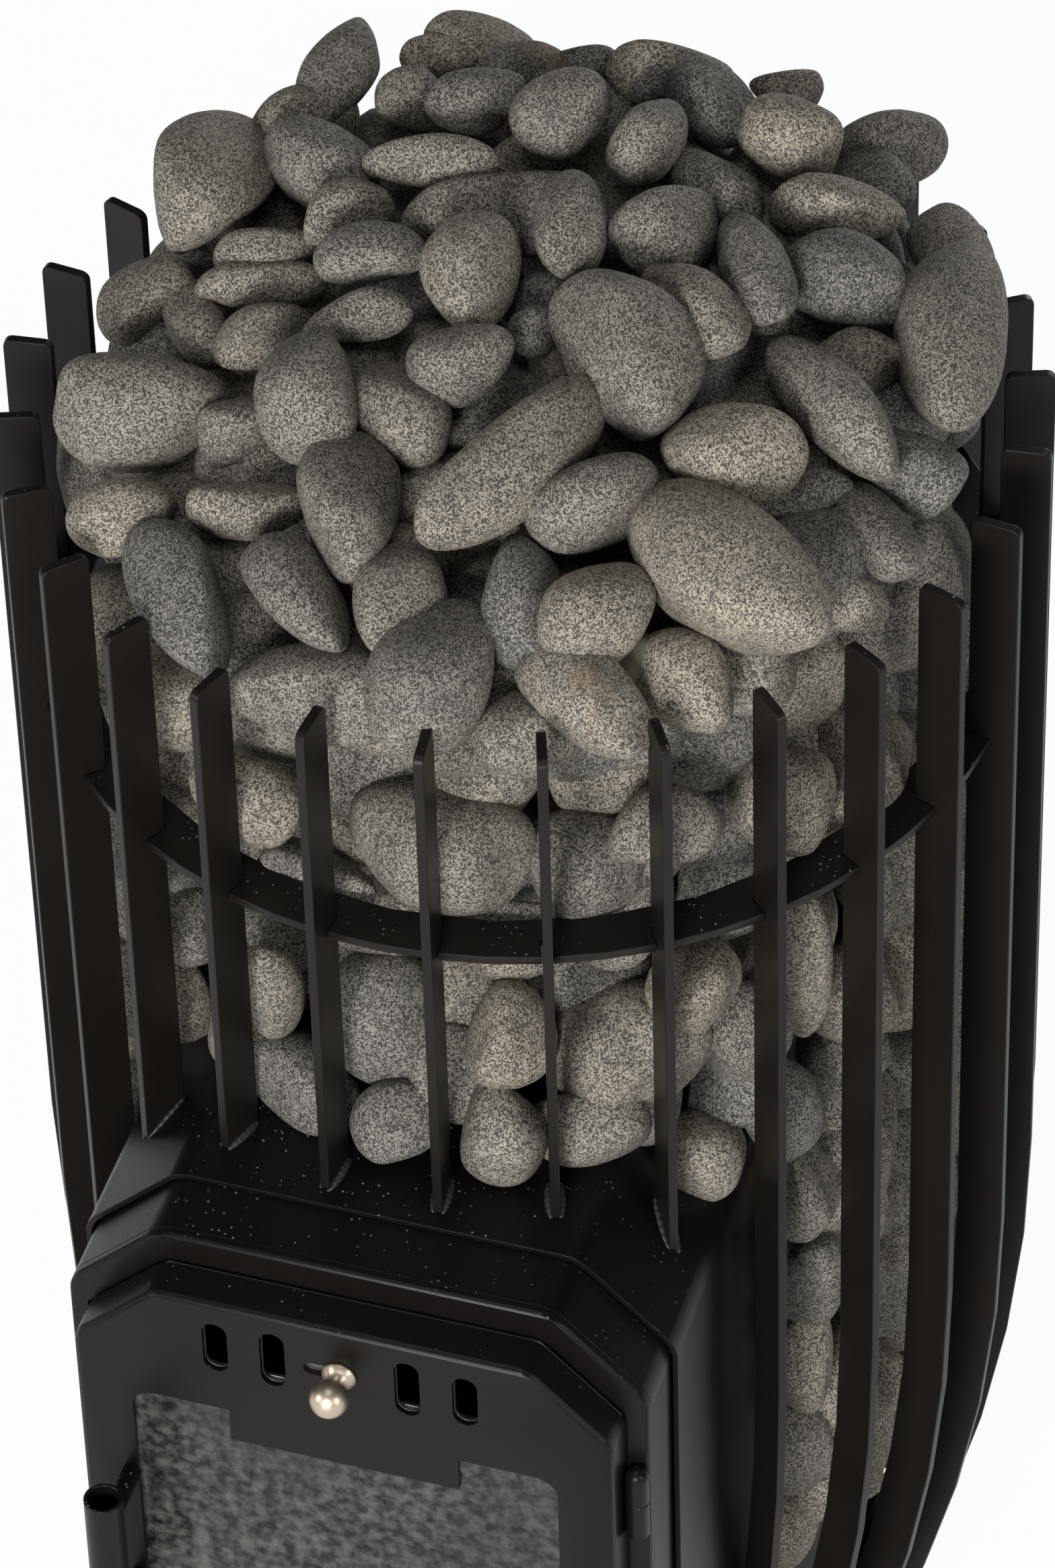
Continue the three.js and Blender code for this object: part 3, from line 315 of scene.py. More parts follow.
def put(piece_name, shape, body, material, nodes=(), smooth=None):
    """A bmesh becomes a named piece that rides on a body and stands for solids."""
    mesh = bpy.data.meshes.new(piece_name)
    shape.to_mesh(mesh)
    shape.free()
    piece = bpy.data.objects.new(piece_name, mesh)
    bpy.context.scene.collection.objects.link(piece)
    mesh.materials.append(material)
    mesh.polygons.foreach_set("use_smooth", [True] * len(mesh.polygons))
    if smooth is not None:
        mesh.set_sharp_from_angle(angle=math.radians(smooth))
    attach(piece, body)
    if nodes:
        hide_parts(*nodes)
    return piece


# %% [markdown]
# Sheet metal and bars have softly rounded edges that catch the light. The solids have sharp ones,
# so a copy of each hard piece is merged, its flat faces are joined again and its edges get a
# small bevel. The bends of folded sheet get a larger radius first. A bevel in the material would
# be quicker, but it would leave the outline sharp. Each copy stands for its solid.

# %% Rounded copies of the hard pieces
MERGE = 0.02 * MM
FLAT_ANGLE, EDGE_ANGLE, SMOOTH_ANGLE = math.radians(1.0), math.radians(35), 32
BEND_LOW, BEND_HIGH = math.radians(30), math.radians(60)
EDGES = {
    "bar": 0.7 * MM,
    "tie_ring": 0.6 * MM,
    "base_plate": 0.8 * MM,
    "ash_drawer": 0.5 * MM,
    "tunnel_sleeve": 0.5 * MM,
    "firebox_neck": 0.8 * MM,
    "door_frame": 0.6 * MM,
    "door_panel": 0.5 * MM,
    "flue_collar": 0.5 * MM,
    "handle_arm": 0.4 * MM,
    "air_slider": 0.3 * MM,
    "slider_guide": 0.3 * MM,
    "glass_retainer": 0.3 * MM,
}
BENDS = {"tunnel_sleeve": 7 * MM, "firebox_neck": 8 * MM, "door_frame": 8 * MM, "door_panel": 6 * MM}


def merged_copy(node):
    """The solid's mesh with shared corners and whole flat faces."""
    shape = bmesh.new()
    shape.from_mesh(frame["nodes"][node].data)
    bmesh.ops.remove_doubles(shape, verts=shape.verts, dist=MERGE)
    bmesh.ops.dissolve_limit(shape, angle_limit=FLAT_ANGLE, verts=shape.verts, edges=shape.edges)
    return shape


def is_bend(edge):
    """Whether a folded sheet turns at this edge, which runs along Y."""
    run = edge.verts[1].co - edge.verts[0].co
    if abs(run.y) <= 0.9 * run.length or not edge.is_manifold:
        return False
    return BEND_LOW < edge.calc_face_angle(0.0) < BEND_HIGH


def soften(node, width, bend):
    shape = merged_copy(node)
    if bend:
        bmesh.ops.bevel(
            shape, geom=[edge for edge in shape.edges if is_bend(edge)], offset=bend,
            offset_type="OFFSET", affect="EDGES", segments=5, profile=0.5, material=-1)
    slot = SLOTS[node]
    piece = put(f"{node}_rounded", shape, BODIES[node], PAINTS[slot], [node], SMOOTH_ANGLE)
    bevel = piece.modifiers.new("edge", "BEVEL")
    bevel.width = width
    bevel.segments = 2
    bevel.limit_method = "ANGLE"
    bevel.angle_limit = EDGE_ANGLE
    bevel.use_clamp_overlap = True
    bevel.harden_normals = True


softened = 0
for node in frame["nodes"]:
    for start, width in EDGES.items():
        if node.startswith(start):
            soften(node, width, BENDS.get(node, 0.0))
            softened += 1
print("rounded copies", softened)

# %% [markdown]
# The solids that stay as they are, such as the firebox, the seal and the glass, still need a
# finish of their own. Their meshes aren't touched: only the material is set.

# %% Finishes on the solids that stay
for node, solid in frame["nodes"].items():
    material = PAINTS.get(SLOTS[node])
    if material:
        solid.data.materials.clear()
        solid.data.materials.append(material)
print("finishes set")

# %% [markdown]
# The ball knob is turned metal: a flared foot, a short neck and a ball. A lathe makes it on the
# real stove, so here a half outline is spun round the knob's axis, which gives the same form with
# far fewer steps than joining a sphere and a cone. It stands for the coarser solid.

# %% Ball knob
SPIN_MERGE = 0.01 * MM


def turned(outline, centre, axis, steps):
    """Spins an outline of (radius, distance along the axis) round an axis through a point."""
    shape = bmesh.new()
    side = axis.orthogonal().normalized()
    corners = [shape.verts.new(centre + side * r + axis * t) for r, t in outline]
    edges = [shape.edges.new(pair) for pair in zip(corners, corners[1:])]
    bmesh.ops.spin(
        shape, geom=corners + edges, cent=centre, axis=axis, angle=2 * math.pi,
        steps=steps, use_merge=True)
    bmesh.ops.remove_doubles(shape, verts=shape.verts, dist=SPIN_MERGE)
    bmesh.ops.recalc_face_normals(shape, faces=shape.faces)
    return shape


def arc(radius, start, end, count, centre):
    """Points of an arc as (radius, distance along the axis)."""
    points = []
    for i in range(count + 1):
        a = math.radians(start + (end - start) * i / count)
        points.append((radius * math.sin(a), centre + radius * math.cos(a)))
    return points


knob_low, knob_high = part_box("air_knob")
knob_mid = (knob_low + knob_high) / 2
PANEL_GAP = 0.3 * MM
BALL_R = (knob_high.x - knob_low.x) / 2
BALL_START = 180 - 27
STEM_R, STEM_IN = 3 * MM, 4 * MM
FOOT_R, FOOT_TALL, FOOT_EASE = 9 * MM, 1.6 * MM, 0.2 * MM
FLARE = [(6.6 * MM, 3.6 * MM), (4.8 * MM, 6 * MM), (4.5 * MM, 8 * MM)]
knob_root = Vector((knob_mid.x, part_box("door_panel")[0].y - PANEL_GAP, knob_mid.z))
ball_at = knob_root.y - knob_low.y - BALL_R
knob_outline = [(0.0, -STEM_IN), (STEM_R, -STEM_IN), (STEM_R, 0.0)]
knob_outline += [(FOOT_R - FOOT_EASE, 0.0), (FOOT_R, FOOT_TALL / 2), (FOOT_R - FOOT_EASE, FOOT_TALL)]
knob_outline += FLARE
knob_outline += arc(BALL_R, BALL_START, 0, 20, ball_at)
knob_shape = turned(knob_outline, knob_root, Vector((0, -1, 0)), 40)
put("ball_knob", knob_shape, "air_slide", satin_nickel, ["air_knob"], smooth=40)
print("knob ball", round(2 * BALL_R / MM, 1), "mm")

# %% [markdown]
# The handle is an upright open tube, and the hinges are short turned barrels: the upper one has a
# domed cap, and the lower one carries the pin. Both are spun from outlines too, with slightly
# broken edges, because a sharp rim would show no light on its edge.

# %% Handle and hinges
TUBE_WALL, LIP = 2 * MM, 0.5 * MM
handle_low, handle_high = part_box("door_handle")
handle_r = (handle_high.x - handle_low.x) / 2
bore_r = handle_r - TUBE_WALL
length = handle_high.z - handle_low.z
tube = [
    (bore_r, LIP), (bore_r + LIP, 0.0), (handle_r - LIP, 0.0), (handle_r, LIP),
    (handle_r, length - LIP), (handle_r - LIP, length), (bore_r + LIP, length),
    (bore_r, length - LIP), (bore_r, LIP),
]
handle_foot = (handle_low + handle_high) / 2
handle_foot.z = handle_low.z
handle_shape = turned(tube, handle_foot, UP, 40)
put("handle_tube", handle_shape, "door", plate_black, ["door_handle"], smooth=35)

PIN_R, PIN_EASE = 3 * MM, 0.6 * MM
HOLE_R, HOLE_EASE, CAP_WALL = 3.3 * MM, 0.4 * MM, 1 * MM
BARREL_SHARE = 24.0 / 41.7


def hinge_barrel(node):
    low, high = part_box(node)
    r = (high.x - low.x) / 2
    tall = high.z - low.z
    if "door" in node:
        dome = tall - r
        outline = [(HOLE_R, HOLE_EASE), (r - LIP, 0.0), (r, LIP), (r, dome)]
        outline += arc(r, 90, 0, 10, dome)[1:]
        outline += [(0.0, dome - CAP_WALL), (HOLE_R, dome - CAP_WALL), (HOLE_R, HOLE_EASE)]
    else:
        barrel = tall * BARREL_SHARE
        outline = [(0.0, 0.0), (r - LIP, 0.0), (r, LIP), (r, barrel - LIP), (r - LIP, barrel)]
        outline += [(PIN_R, barrel), (PIN_R, tall - PIN_EASE), (PIN_R - PIN_EASE, tall), (0.0, tall)]
    foot = (low + high) / 2
    foot.z = low.z
    shape = turned(outline, foot, UP, 32)
    return put(f"{node}_turned", shape, BODIES[node], plate_black, [node], smooth=35)


barrels = [hinge_barrel(node) for node in frame["nodes"] if node.startswith("hinge_")]
print("handle and", len(barrels), "hinge barrels")

# %% [markdown]
# The stones are river pebbles: worn smooth, egg shaped or softly three-sided. They could be
# sculpted one by one, but there are hundreds. So one stone starts as an icosphere. A few planes
# press it flat, with a soft start so that no crease is left, and low noise bends it. The stone is
# then brought back to its full length along each axis. Its own tone is kept in an attribute.

# %% One stone
PRESS_COUNT, PRESS_REACH = (4, 6), (0.4, 0.8)
PRESS_SOFT, PRESS_SHARE = 0.1, 0.62
BEND_SHARE, BEND_SCALE = 0.07, 0.9
RIPPLE_SHARE, RIPPLE_SCALE = 0.02, 2.6
NOISE_SPREAD = 50
FINE, COARSE = 4, 3


def stone(shape, layer, centre, half, axes, seed, level):
    """Adds a pebble with half sizes along three axes to a bmesh."""
    rng = random.Random(seed)
    made = bmesh.ops.create_icosphere(shape, subdivisions=level, radius=1.0)["verts"]
    cuts = []
    for _ in range(rng.randint(*PRESS_COUNT)):
        flat = Vector((rng.gauss(0, 1), rng.gauss(0, 1), rng.gauss(0, 1))).normalized()
        cuts.append((flat, rng.uniform(*PRESS_REACH)))
    shift = Vector([rng.uniform(-NOISE_SPREAD, NOISE_SPREAD) for _ in range(3)])
    tone = rng.random()
    points = []
    for vert in made:
        p = vert.co.copy()
        for flat, reach in cuts:
            past = PRESS_SOFT * math.log1p(math.exp((p.dot(flat) - reach) / PRESS_SOFT))
            p -= flat * past * PRESS_SHARE
        bend = BEND_SHARE * noise.noise(p * BEND_SCALE + shift)
        ripple = RIPPLE_SHARE * noise.noise(p * RIPPLE_SCALE - shift)
        points.append(p * (1.0 + bend + ripple))
    full = [max(abs(p[k]) for p in points) for k in range(3)]
    for vert, p in zip(made, points):
        vert.co = centre
        for k in range(3):
            vert.co = vert.co + axes[k] * (p[k] / full[k] * half[k])
        vert[layer] = tone


def stone_pile():
    """An empty bmesh with a place for each stone's tone."""
    shape = bmesh.new()
    return shape, shape.verts.layers.float.new("tone")


def turned_axes(angle):
    """Axes out, aside and up, turned round the upright."""
    out = Vector((math.cos(angle), math.sin(angle), 0))
    return out, UP.cross(out), UP


print("pebble maker ready")

# %% [markdown]
# The stones are a grey granite with fine salt and pepper grains of about a millimetre, some warm
# and pale, some dark and bluish. Cells give the grains, because noise alone would look cloudy. Each
# stone leans to one side by its own tone. A little rust and darker drifts break up the surface.

# %% Stone finish
PALE_COOL, PALE_WARM = (0.262, 0.248, 0.224), (0.45, 0.395, 0.316)
DEEP_COOL, DEEP_WARM = (0.038, 0.036, 0.033), (0.09, 0.08, 0.065)
PEPPER_TONE, DRIFT_TONE, RUST_TONE = (0.03, 0.029, 0.028), (0.07, 0.07, 0.072), (0.24, 0.15, 0.07)

granite = Finish("grey_granite", specular_ior_level=0.25)
tone = granite.node("ShaderNodeAttribute", {"attribute_name": "tone"}, out="Fac")
clumps = granite.grain(75.0, 4.0, 0.6)
drift = granite.grain(24.0, 3.0)
grain = granite.node("ShaderNodeSeparateColor", None, {0: granite.cells(1500.0)}, out="Red")
flecks = granite.node("ShaderNodeSeparateColor", None, {0: granite.cells(1050.0)}, out="Green")
mixed_grain = grain * 0.65 + granite.grain(1500.0, 2.0, 0.6) * 0.35 + clumps * 0.3 - 0.15
pale = granite.blend(tone, PALE_COOL, PALE_WARM)
deep = granite.blend(tone, DEEP_COOL, DEEP_WARM)
salted = granite.blend(mixed_grain.over(0.5, 0.2), deep, pale)
peppered = granite.blend(flecks.over(0.85, 0.04) * 0.8, salted, PEPPER_TONE)
shaded = granite.blend(drift.over(0.62, 0.12) * 0.3, peppered, DRIFT_TONE)
rust = granite.grain(13.0, 3.0).over(0.74, 0.03) * 0.3
granite.set(base_color=granite.blend(rust, shaded, RUST_TONE), roughness=0.62 + clumps * 0.25)
pits = granite.grain(420.0, 5.0, 0.7)
granite.set(normal=granite.bump(pits * 0.7 + grain * 0.15 + clumps * 0.6, 0.35, 1 * MM))
grey_granite = granite.material

olive = Finish("olive_stone", specular_ior_level=0.25)
veins = olive.grain(48.0, 6.0, 0.65)
veined = olive.blend(veins, (0.06, 0.062, 0.04), (0.21, 0.2, 0.125))
olive.set(base_color=veined, roughness=0.6 + veins * 0.2)
olive.set(normal=olive.bump(olive.grain(380.0, 4.0), 0.35, 1 * MM))
olive_stone = olive.material
print("stone finishes", grey_granite.name, olive_stone.name)

# %% [markdown]
# The heap is laid stone by stone on a mound that rises to the back. A physics run could drop the
# stones, but it wouldn't put them where they lie on the real stove. A row gives a stone's place
# across and to the back, its length and thickness, all in hundredths of the cage's inner radius,
# and the turn of its length in degrees, just as in the solids. The last number says how far the
# stone lies on its neighbours, or under them if it is below zero. One olive stone shows near the
# front.

# %% Heap over the rim
BAR_DEPTH = 25 * MM
BAR_INNER_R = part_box("tie_ring")[1].x - BAR_DEPTH / 2
BAR_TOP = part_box("bar_10")[1].z
UNIT = BAR_INNER_R / 100
HEAP_LIFT, HEAP_SWELL, HEAP_TILT = 4 * MM, 55 * MM, 48 * MM
HEAP_SEED, OLIVE_SEED = 100, 99
HEAP_STONES = [
    (-60, 65, 32, 17, 80, 2), (-35, 73, 29, 12, 20, -4), (-42, 55, 16, 15, 20, -3), (-28, 55, 24, 15, 25, 3),
    (-7, 55, 25, 19, 40, 4), (-29, 34, 31, 13, 10, 3), (-78, 30, 44, 28, 85, 4), (-55, 34, 29, 19, -15, 0),
    (-44, 18, 22, 15, 35, 0), (-11, 24, 43, 20, 25, -4), (-34, 6, 24, 15, 15, 4), (-12, 5, 32, 22, -85, 3),
    (4, 20, 36, 17, -80, 2), (-81, -1, 28, 20, 80, -2), (-70, -8, 33, 13, -50, -4), (-56, -1, 28, 13, 25, -4),
    (-32, -9, 23, 12, 25, 2), (-53, -14, 25, 16, 40, -2), (-39, -27, 36, 23, -60, 5),
    (-73, -32, 38, 25, 5, 2), (-50, -36, 22, 17, 20, -3), (-17, -28, 33, 21, -50, -4),
    (-7, -16, 24, 18, 20, 3), (5, -6, 12, 11, 20, -5), (9, -36, 58, 24, 70, 6), (-68, -55, 25, 18, 20, -1),
    (-43, -52, 26, 15, 10, -3), (-22, -51, 41, 23, -80, 4), (28, -40, 31, 22, 40, 3), (9, 78, 28, 15, 5, -1),
    (-10, 76, 17, 8, 20, -5), (7, 74, 13, 13, 20, -3), (11, 53, 24, 17, 85, 3), (21, 70, 27, 17, -35, 0),
    (34, 84, 18, 10, 10, -4), (39, 66, 23, 19, -10, 4), (30, 44, 24, 15, -25, -4), (23, 28, 25, 21, 60, 2),
    (53, 49, 30, 14, 10, 3), (58, 61, 21, 15, -30, -4), (43, 22, 36, 17, -55, 2), (61, 28, 30, 20, -15, 3),
    (36, 8, 35, 16, -35, 4), (83, 27, 56, 25, -80, 4), (26, -8, 50, 30, -35, 2), (51, -19, 31, 24, -10, 5),
    (68, -1, 46, 20, -40, 4), (86, -9, 27, 17, -5, -1), (61, -26, 34, 12, 25, -4), (-49, -71, 46, 21, -45, 4),
    (-26, -70, 38, 20, -45, 2), (-4, -65, 37, 22, -80, 3), (19, -63, 34, 23, -50, -1),
    (35, -61, 30, 22, 75, 4), (56, -46, 57, 30, -35, 6), (73, -35, 32, 22, 45, -3), (52, -41, 23, 13, 40, -5),
    (83, -23, 32, 15, -50, 0), (82, -39, 19, 14, 5, -4), (6, -80, 39, 25, 85, 5), (-16, -86, 40, 22, 5, -1),
    (28, -84, 30, 19, 45, -4), (36, -76, 36, 20, -30, 4), (55, -68, 27, 22, -5, -2),
    (-62, 48, 26, 18, 40, -5), (58, 74, 26, 18, 35, -5), (78, 50, 28, 18, -60, -5), (-22, 70, 22, 15, 60, -5),
    (70, 12, 24, 16, 20, -5), (-32, 76, 28, 18, -20, -5), (-56, 8, 26, 16, 30, -5),
]
OLIVE_STONE = (46, -67, 15, 13, 20, -3)


def mound_z(x, y):
    out = min(math.hypot(x, y) / BAR_INNER_R, 1.0)
    return BAR_TOP + HEAP_LIFT + HEAP_SWELL * (1.0 - out * out) + HEAP_TILT * y / BAR_INNER_R


def heap_stone(pile, row, seed):
    across, back, long, thick, degrees, rise = row
    x, y = across * UNIT, back * UNIT
    spot = Vector((x, y, mound_z(x, y))) - VIEW_FORWARD * (rise * UNIT)
    half = (long * UNIT / 2, thick * UNIT / 2, thick * UNIT / 2)
    stone(*pile, spot, half, turned_axes(math.radians(degrees)), seed, FINE)


heap = stone_pile()
for i, row in enumerate(HEAP_STONES):
    heap_stone(heap, row, HEAP_SEED + i)
olive_pile = stone_pile()
heap_stone(olive_pile, OLIVE_STONE, OLIVE_SEED)
print("heap stones", len(HEAP_STONES) + 1)

# %% [markdown]
# Below the rim the stones lie between the bars and the firebox. The bars bend in towards the
# floor on a large arc, so the room there gets narrower. The solids give its walls, and a stone
# never gets deeper than the room at its foot.

# %% Room behind the bars
BOX_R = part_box("firebox_shell")[1].x
BEND_Z, BEND_R = 374 * MM, 1095 * MM
STONE_GAP, BAR_CLEAR = 0.6 * MM, 4 * MM
STONE_BULGE, SLACK = 0.92, 0.96
WALL_SEED = 1000


def cavity_r(z):
    """The inner face of the bars at a height."""
    below = max(0.0, BEND_Z - z)
    return BAR_INNER_R - STONE_GAP - (BEND_R - math.sqrt(BEND_R ** 2 - below ** 2))


def wall_stone(pile, angle, z, wide, tall, seed, poke=0.0):
    """A stone behind the bars. poke is how far it reaches out between them."""
    room = cavity_r(z - tall / 2) - BAR_CLEAR
    depth = min(wide, tall, (room - BOX_R) / STONE_BULGE)
    axes = turned_axes(angle)
    spot = axes[0] * (room + poke - depth / 2 * STONE_BULGE) + UP * z
    half = (depth / 2 * STONE_BULGE, wide / 2 * SLACK, tall / 2 * SLACK)
    stone(*pile, spot, half, axes, WALL_SEED + seed, FINE)


print("room behind the bars", round((BAR_INNER_R - BOX_R) / MM), "mm")

# %% [markdown]
# Behind the front bars and beside the sleeve the stones have their own places again: degrees from
# the middle, rise over the sleeve's roof, width, height and how far they reach between the bars.

# %% Stones at the front and beside the sleeve
ROOF_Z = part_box("tunnel_sleeve")[1].z
FRONT_SEED, SLEEVE_SEED = 100, 500
FRONT_STONES = [
    (-22, 83, 32, 20, 0), (5, 83, 42, 29, 2), (24, 75, 29, 27, -3), (35, 89, 27, 22, 2), (55, 81, 25, 25, 0),
    (-13, 70, 32, 14, -2), (14, 67, 40, 10, -4), (54, 35, 16, 45, 1), (-20, 31, 16, 26, 1),
    (-4, 26, 31, 33, 0), (13, 33, 24, 26, 2), (40, 40, 24, 21, 1), (31, 19, 40, 38, 1), (51, -8, 22, 34, 3),
    (-14, 9, 34, 21, 4), (0, 10, 22, 20, 8), (13, 14, 21, 29, 10), (25, 10, 32, 23, 5), (39, -6, 21, 30, 4),
    (-41, 2, 17, 31, 0), (-38, 28, 17, 20, -2), (67, 42, 10, 26, 0), (69, 68, 18, 30, 0),
    (-44, 62, 30, 26, 0), (-56, 30, 26, 30, -1), (-42, 90, 30, 24, -2), (46, 20, 24, 26, 0),
    (7, 18, 24, 24, -1), (-27, 12, 22, 26, 0), (46, 4, 26, 24, -3), (33, 6, 24, 24, -4),
]
SLEEVE_STONES = [
    (57, -37, 18, 30, 0), (57, -63, 18, 38, 0), (58, -92, 18, 36, 0), (57, -124, 20, 36, 1),
    (58, -155, 18, 34, 0), (104, -76, 26, 44, 3), (-57, -47, 16, 19, 3), (-57, -20, 18, 30, 0),
    (-58, -72, 18, 32, 0), (-58, -105, 18, 36, 0), (-57, -140, 19, 34, 0),
]


def placed_stone(pile, row, seed):
    degrees, *sizes = row
    rise, wide, tall, poke = (size * UNIT for size in sizes)
    wall_stone(pile, math.radians(degrees - 90), ROOF_Z + rise, wide, tall, seed, poke)


upper = stone_pile()
for i, row in enumerate(FRONT_STONES):
    placed_stone(upper, row, FRONT_SEED + i)
beds = {"left": stone_pile(), "right": stone_pile()}
for i, row in enumerate(SLEEVE_STONES):
    placed_stone(beds["left" if row[0] < 0 else "right"], row, SLEEVE_SEED + i)
print("placed stones", len(FRONT_STONES) + len(SLEEVE_STONES))

# %% [markdown]
# Round the sides and the back the stones stand in staggered rows, as in the solids, clear of the
# tunnel and the flue. The rows above the firebox lean with the mound. They stray from their places
# by the same numbers as the solids do, which come from a formula and not from a random draw.

# %% Rows round the sides and the back
CROWN_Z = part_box("firebox_crown")[1].z
FLUE_LOW, FLUE_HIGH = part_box("flue_collar")
FLUE_Z = (FLUE_LOW.z + FLUE_HIGH.z) / 2
FLUE_R = 57.5 * MM
BED_Z, CORE_DROP = 130 * MM, 8 * MM
WALL_COUNT, BED_ROWS, UPPER_ROWS = 13, 5, 3
FRONT_SPAN, FLUE_SPAN, STONE_STRAY = 0.17, 0.09, 0.25
UPPER_SEED, BED_SEED = 200, 300


def stray(n):
    """The same stray numbers as the solids are laid with, from 0 to 1."""
    s = math.sin(n * 127.1 + 311.7) * 43758.5453
    return s - math.floor(s)


def stone_rows(pick, low, high, rows, first, lean):
    """Staggered rows between two heights. pick gives the pile for a stone's angle."""
    row_h = (high - low) / rows
    pitch = math.pi * (BAR_INNER_R + BOX_R) / WALL_COUNT
    for i in range(rows * WALL_COUNT):
        row = i // WALL_COUNT
        turn = (i % WALL_COUNT + (row % 2) / 2 + STONE_STRAY * stray(first + i)) / WALL_COUNT
        angle = (turn - 0.25) * 2 * math.pi
        z = low + (row + 0.5) * (row_h + lean * math.sin(angle) / rows)
        from_front = min(turn, 1 - turn)
        by_flue = abs(z - FLUE_Z) < FLUE_R + row_h / 2 and from_front > 0.5 - FLUE_SPAN
        if from_front > FRONT_SPAN and not by_flue:
            wall_stone(pick(angle), angle, z, pitch, row_h / STONE_BULGE, first + i)


def upper_pile(angle):
    return upper


def bed_pile(angle):
    return beds["left" if math.cos(angle) < 0 else "right"]


stone_rows(upper_pile, CROWN_Z, BAR_TOP - CORE_DROP, UPPER_ROWS, UPPER_SEED, HEAP_TILT)
stone_rows(bed_pile, BED_Z, CROWN_Z, BED_ROWS, BED_SEED, 0.0)
print("rows of stones", UPPER_ROWS + BED_ROWS)

# %% [markdown]
# Under and behind the visible stones lie more, only seen in the gaps. They could be left out, but
# then light would show through the heap. They lie in rings: a layer under the mound, rings behind
# the upper stones, rings in the beds, and a core in the middle. They have fewer faces.

# %% Stones in the gaps
rng = random.Random(7)
fill = stone_pile()
GAP_SEED, FILL_SEED = 5000, 6000
GAP_JOG, RING_TWIST = 5 * MM, 40
MOUND_RINGS, MOUND_REACH, MOUND_DROP = (0.178, 0.132, 0.085, 0.034), 34 * MM, 42 * MM
OUTER_RING, OUTER_REACH, OUTER_SHARES = 0.164, 36 * MM, (0.12, 0.32, 0.53, 0.74, 0.93)
CORE_RINGS, CORE_REACH, CORE_SHARES = (0.105, 0.03), 48 * MM, (0.2, 0.45, 0.7, 0.92)
HEAP_SKIN = 40 * MM


def gap_ring(first, radius, reach, height):
    """A ring of fill stones. height gives the level at a place. Says how many there are."""
    number = max(3, round(2 * math.pi * radius / (1.5 * reach)))
    for i in range(number):
        angle = (i + rng.uniform(-0.2, 0.2)) * 2 * math.pi / number + radius * RING_TWIST
        axes = turned_axes(angle)
        spot = axes[0] * radius
        spot.z = height(spot) + rng.uniform(-GAP_JOG, GAP_JOG)
        stone(*fill, spot, (reach, reach, reach * 0.9), axes, GAP_SEED + first + i, COARSE)
    return number


def under_mound(spot):
    return mound_z(spot.x, spot.y) - MOUND_DROP


def over_crown(share):
    """A level between the firebox and the mound."""
    return lambda spot: CROWN_Z + share * (mound_z(spot.x, spot.y) - HEAP_SKIN - CROWN_Z)


filled = 0
for radius in MOUND_RINGS:
    filled += gap_ring(filled, radius, MOUND_REACH, under_mound)
for share in OUTER_SHARES:
    filled += gap_ring(filled, OUTER_RING, OUTER_REACH, over_crown(share))
print("stones in the gaps of the heap", filled)

# %% [markdown]
# The beds beside the firebox are filled in the same way, ring by ring, but each ring takes its
# size from the room behind the bars at its height, and keeps clear of the sleeve and the flue.
# Then the core of the heap is closed, and each pile becomes a piece.

# %% Stones in the beds and in the core
CLEAR_OF_SLEEVE, CLEAR_OF_FLUE = 62.0, 30 * MM
BED_RINGS = (0.165, 0.21, 0.26, 0.31, 0.36, 0.41, 0.46, 0.51, 0.555)
BED_REACH, BED_FOOT, BED_CLEAR, BED_JOG = 28 * MM, 30 * MM, 3 * MM, 12 * MM
for z in BED_RINGS:
    room = cavity_r(z - BED_FOOT) - BOX_R
    reach = min(BED_REACH, room / 2 - BED_CLEAR)
    number = round(math.pi * (BOX_R + room / 2) / reach)
    for i in range(number):
        degrees = (i + rng.uniform(0.2, 0.8)) * 360.0 / number
        axes = turned_axes(math.radians(degrees - 90))
        spot = axes[0] * (BOX_R + room / 2) + UP * (z + rng.uniform(-BED_JOG, BED_JOG))
        by_flue = spot.y > 0 and math.hypot(spot.x, spot.z - FLUE_Z) < FLUE_R + CLEAR_OF_FLUE
        if min(degrees, 360 - degrees) > CLEAR_OF_SLEEVE and not by_flue:
            pile = beds["left" if spot.x < 0 else "right"]
            half = (reach, reach * rng.uniform(0.9, 1.2), reach * rng.uniform(0.8, 1.1))
            stone(*pile, spot, half, axes, FILL_SEED + filled, COARSE)
            filled += 1
for radius in CORE_RINGS:
    for share in CORE_SHARES:
        filled += gap_ring(filled, radius, CORE_REACH, over_crown(share))
put("heap_stones", heap[0], "stove", grey_granite, ["stones_heap"])
put("heap_olive_stone", olive_pile[0], "stove", olive_stone, ["stones_heap"])
put("wall_stones", upper[0], "stove", grey_granite, ["stones_heap"])
put("gap_stones", fill[0], "stove", grey_granite, ["stones_heap"])
for side, pile in beds.items():
    put(f"bed_stones_{side}", pile[0], "stove", grey_granite, [f"stones_{side}"])
print("stones in all gaps", filled)

# %% [markdown]
# Each bar that stands on the sleeve is held by a weld along both sides of its foot: one long flat
# bead, half sunk into the bar and the roof, that follows the roof's slope. An icosphere drawn out
# to that length is enough, and a small wave along it gives the ripples of the weld.

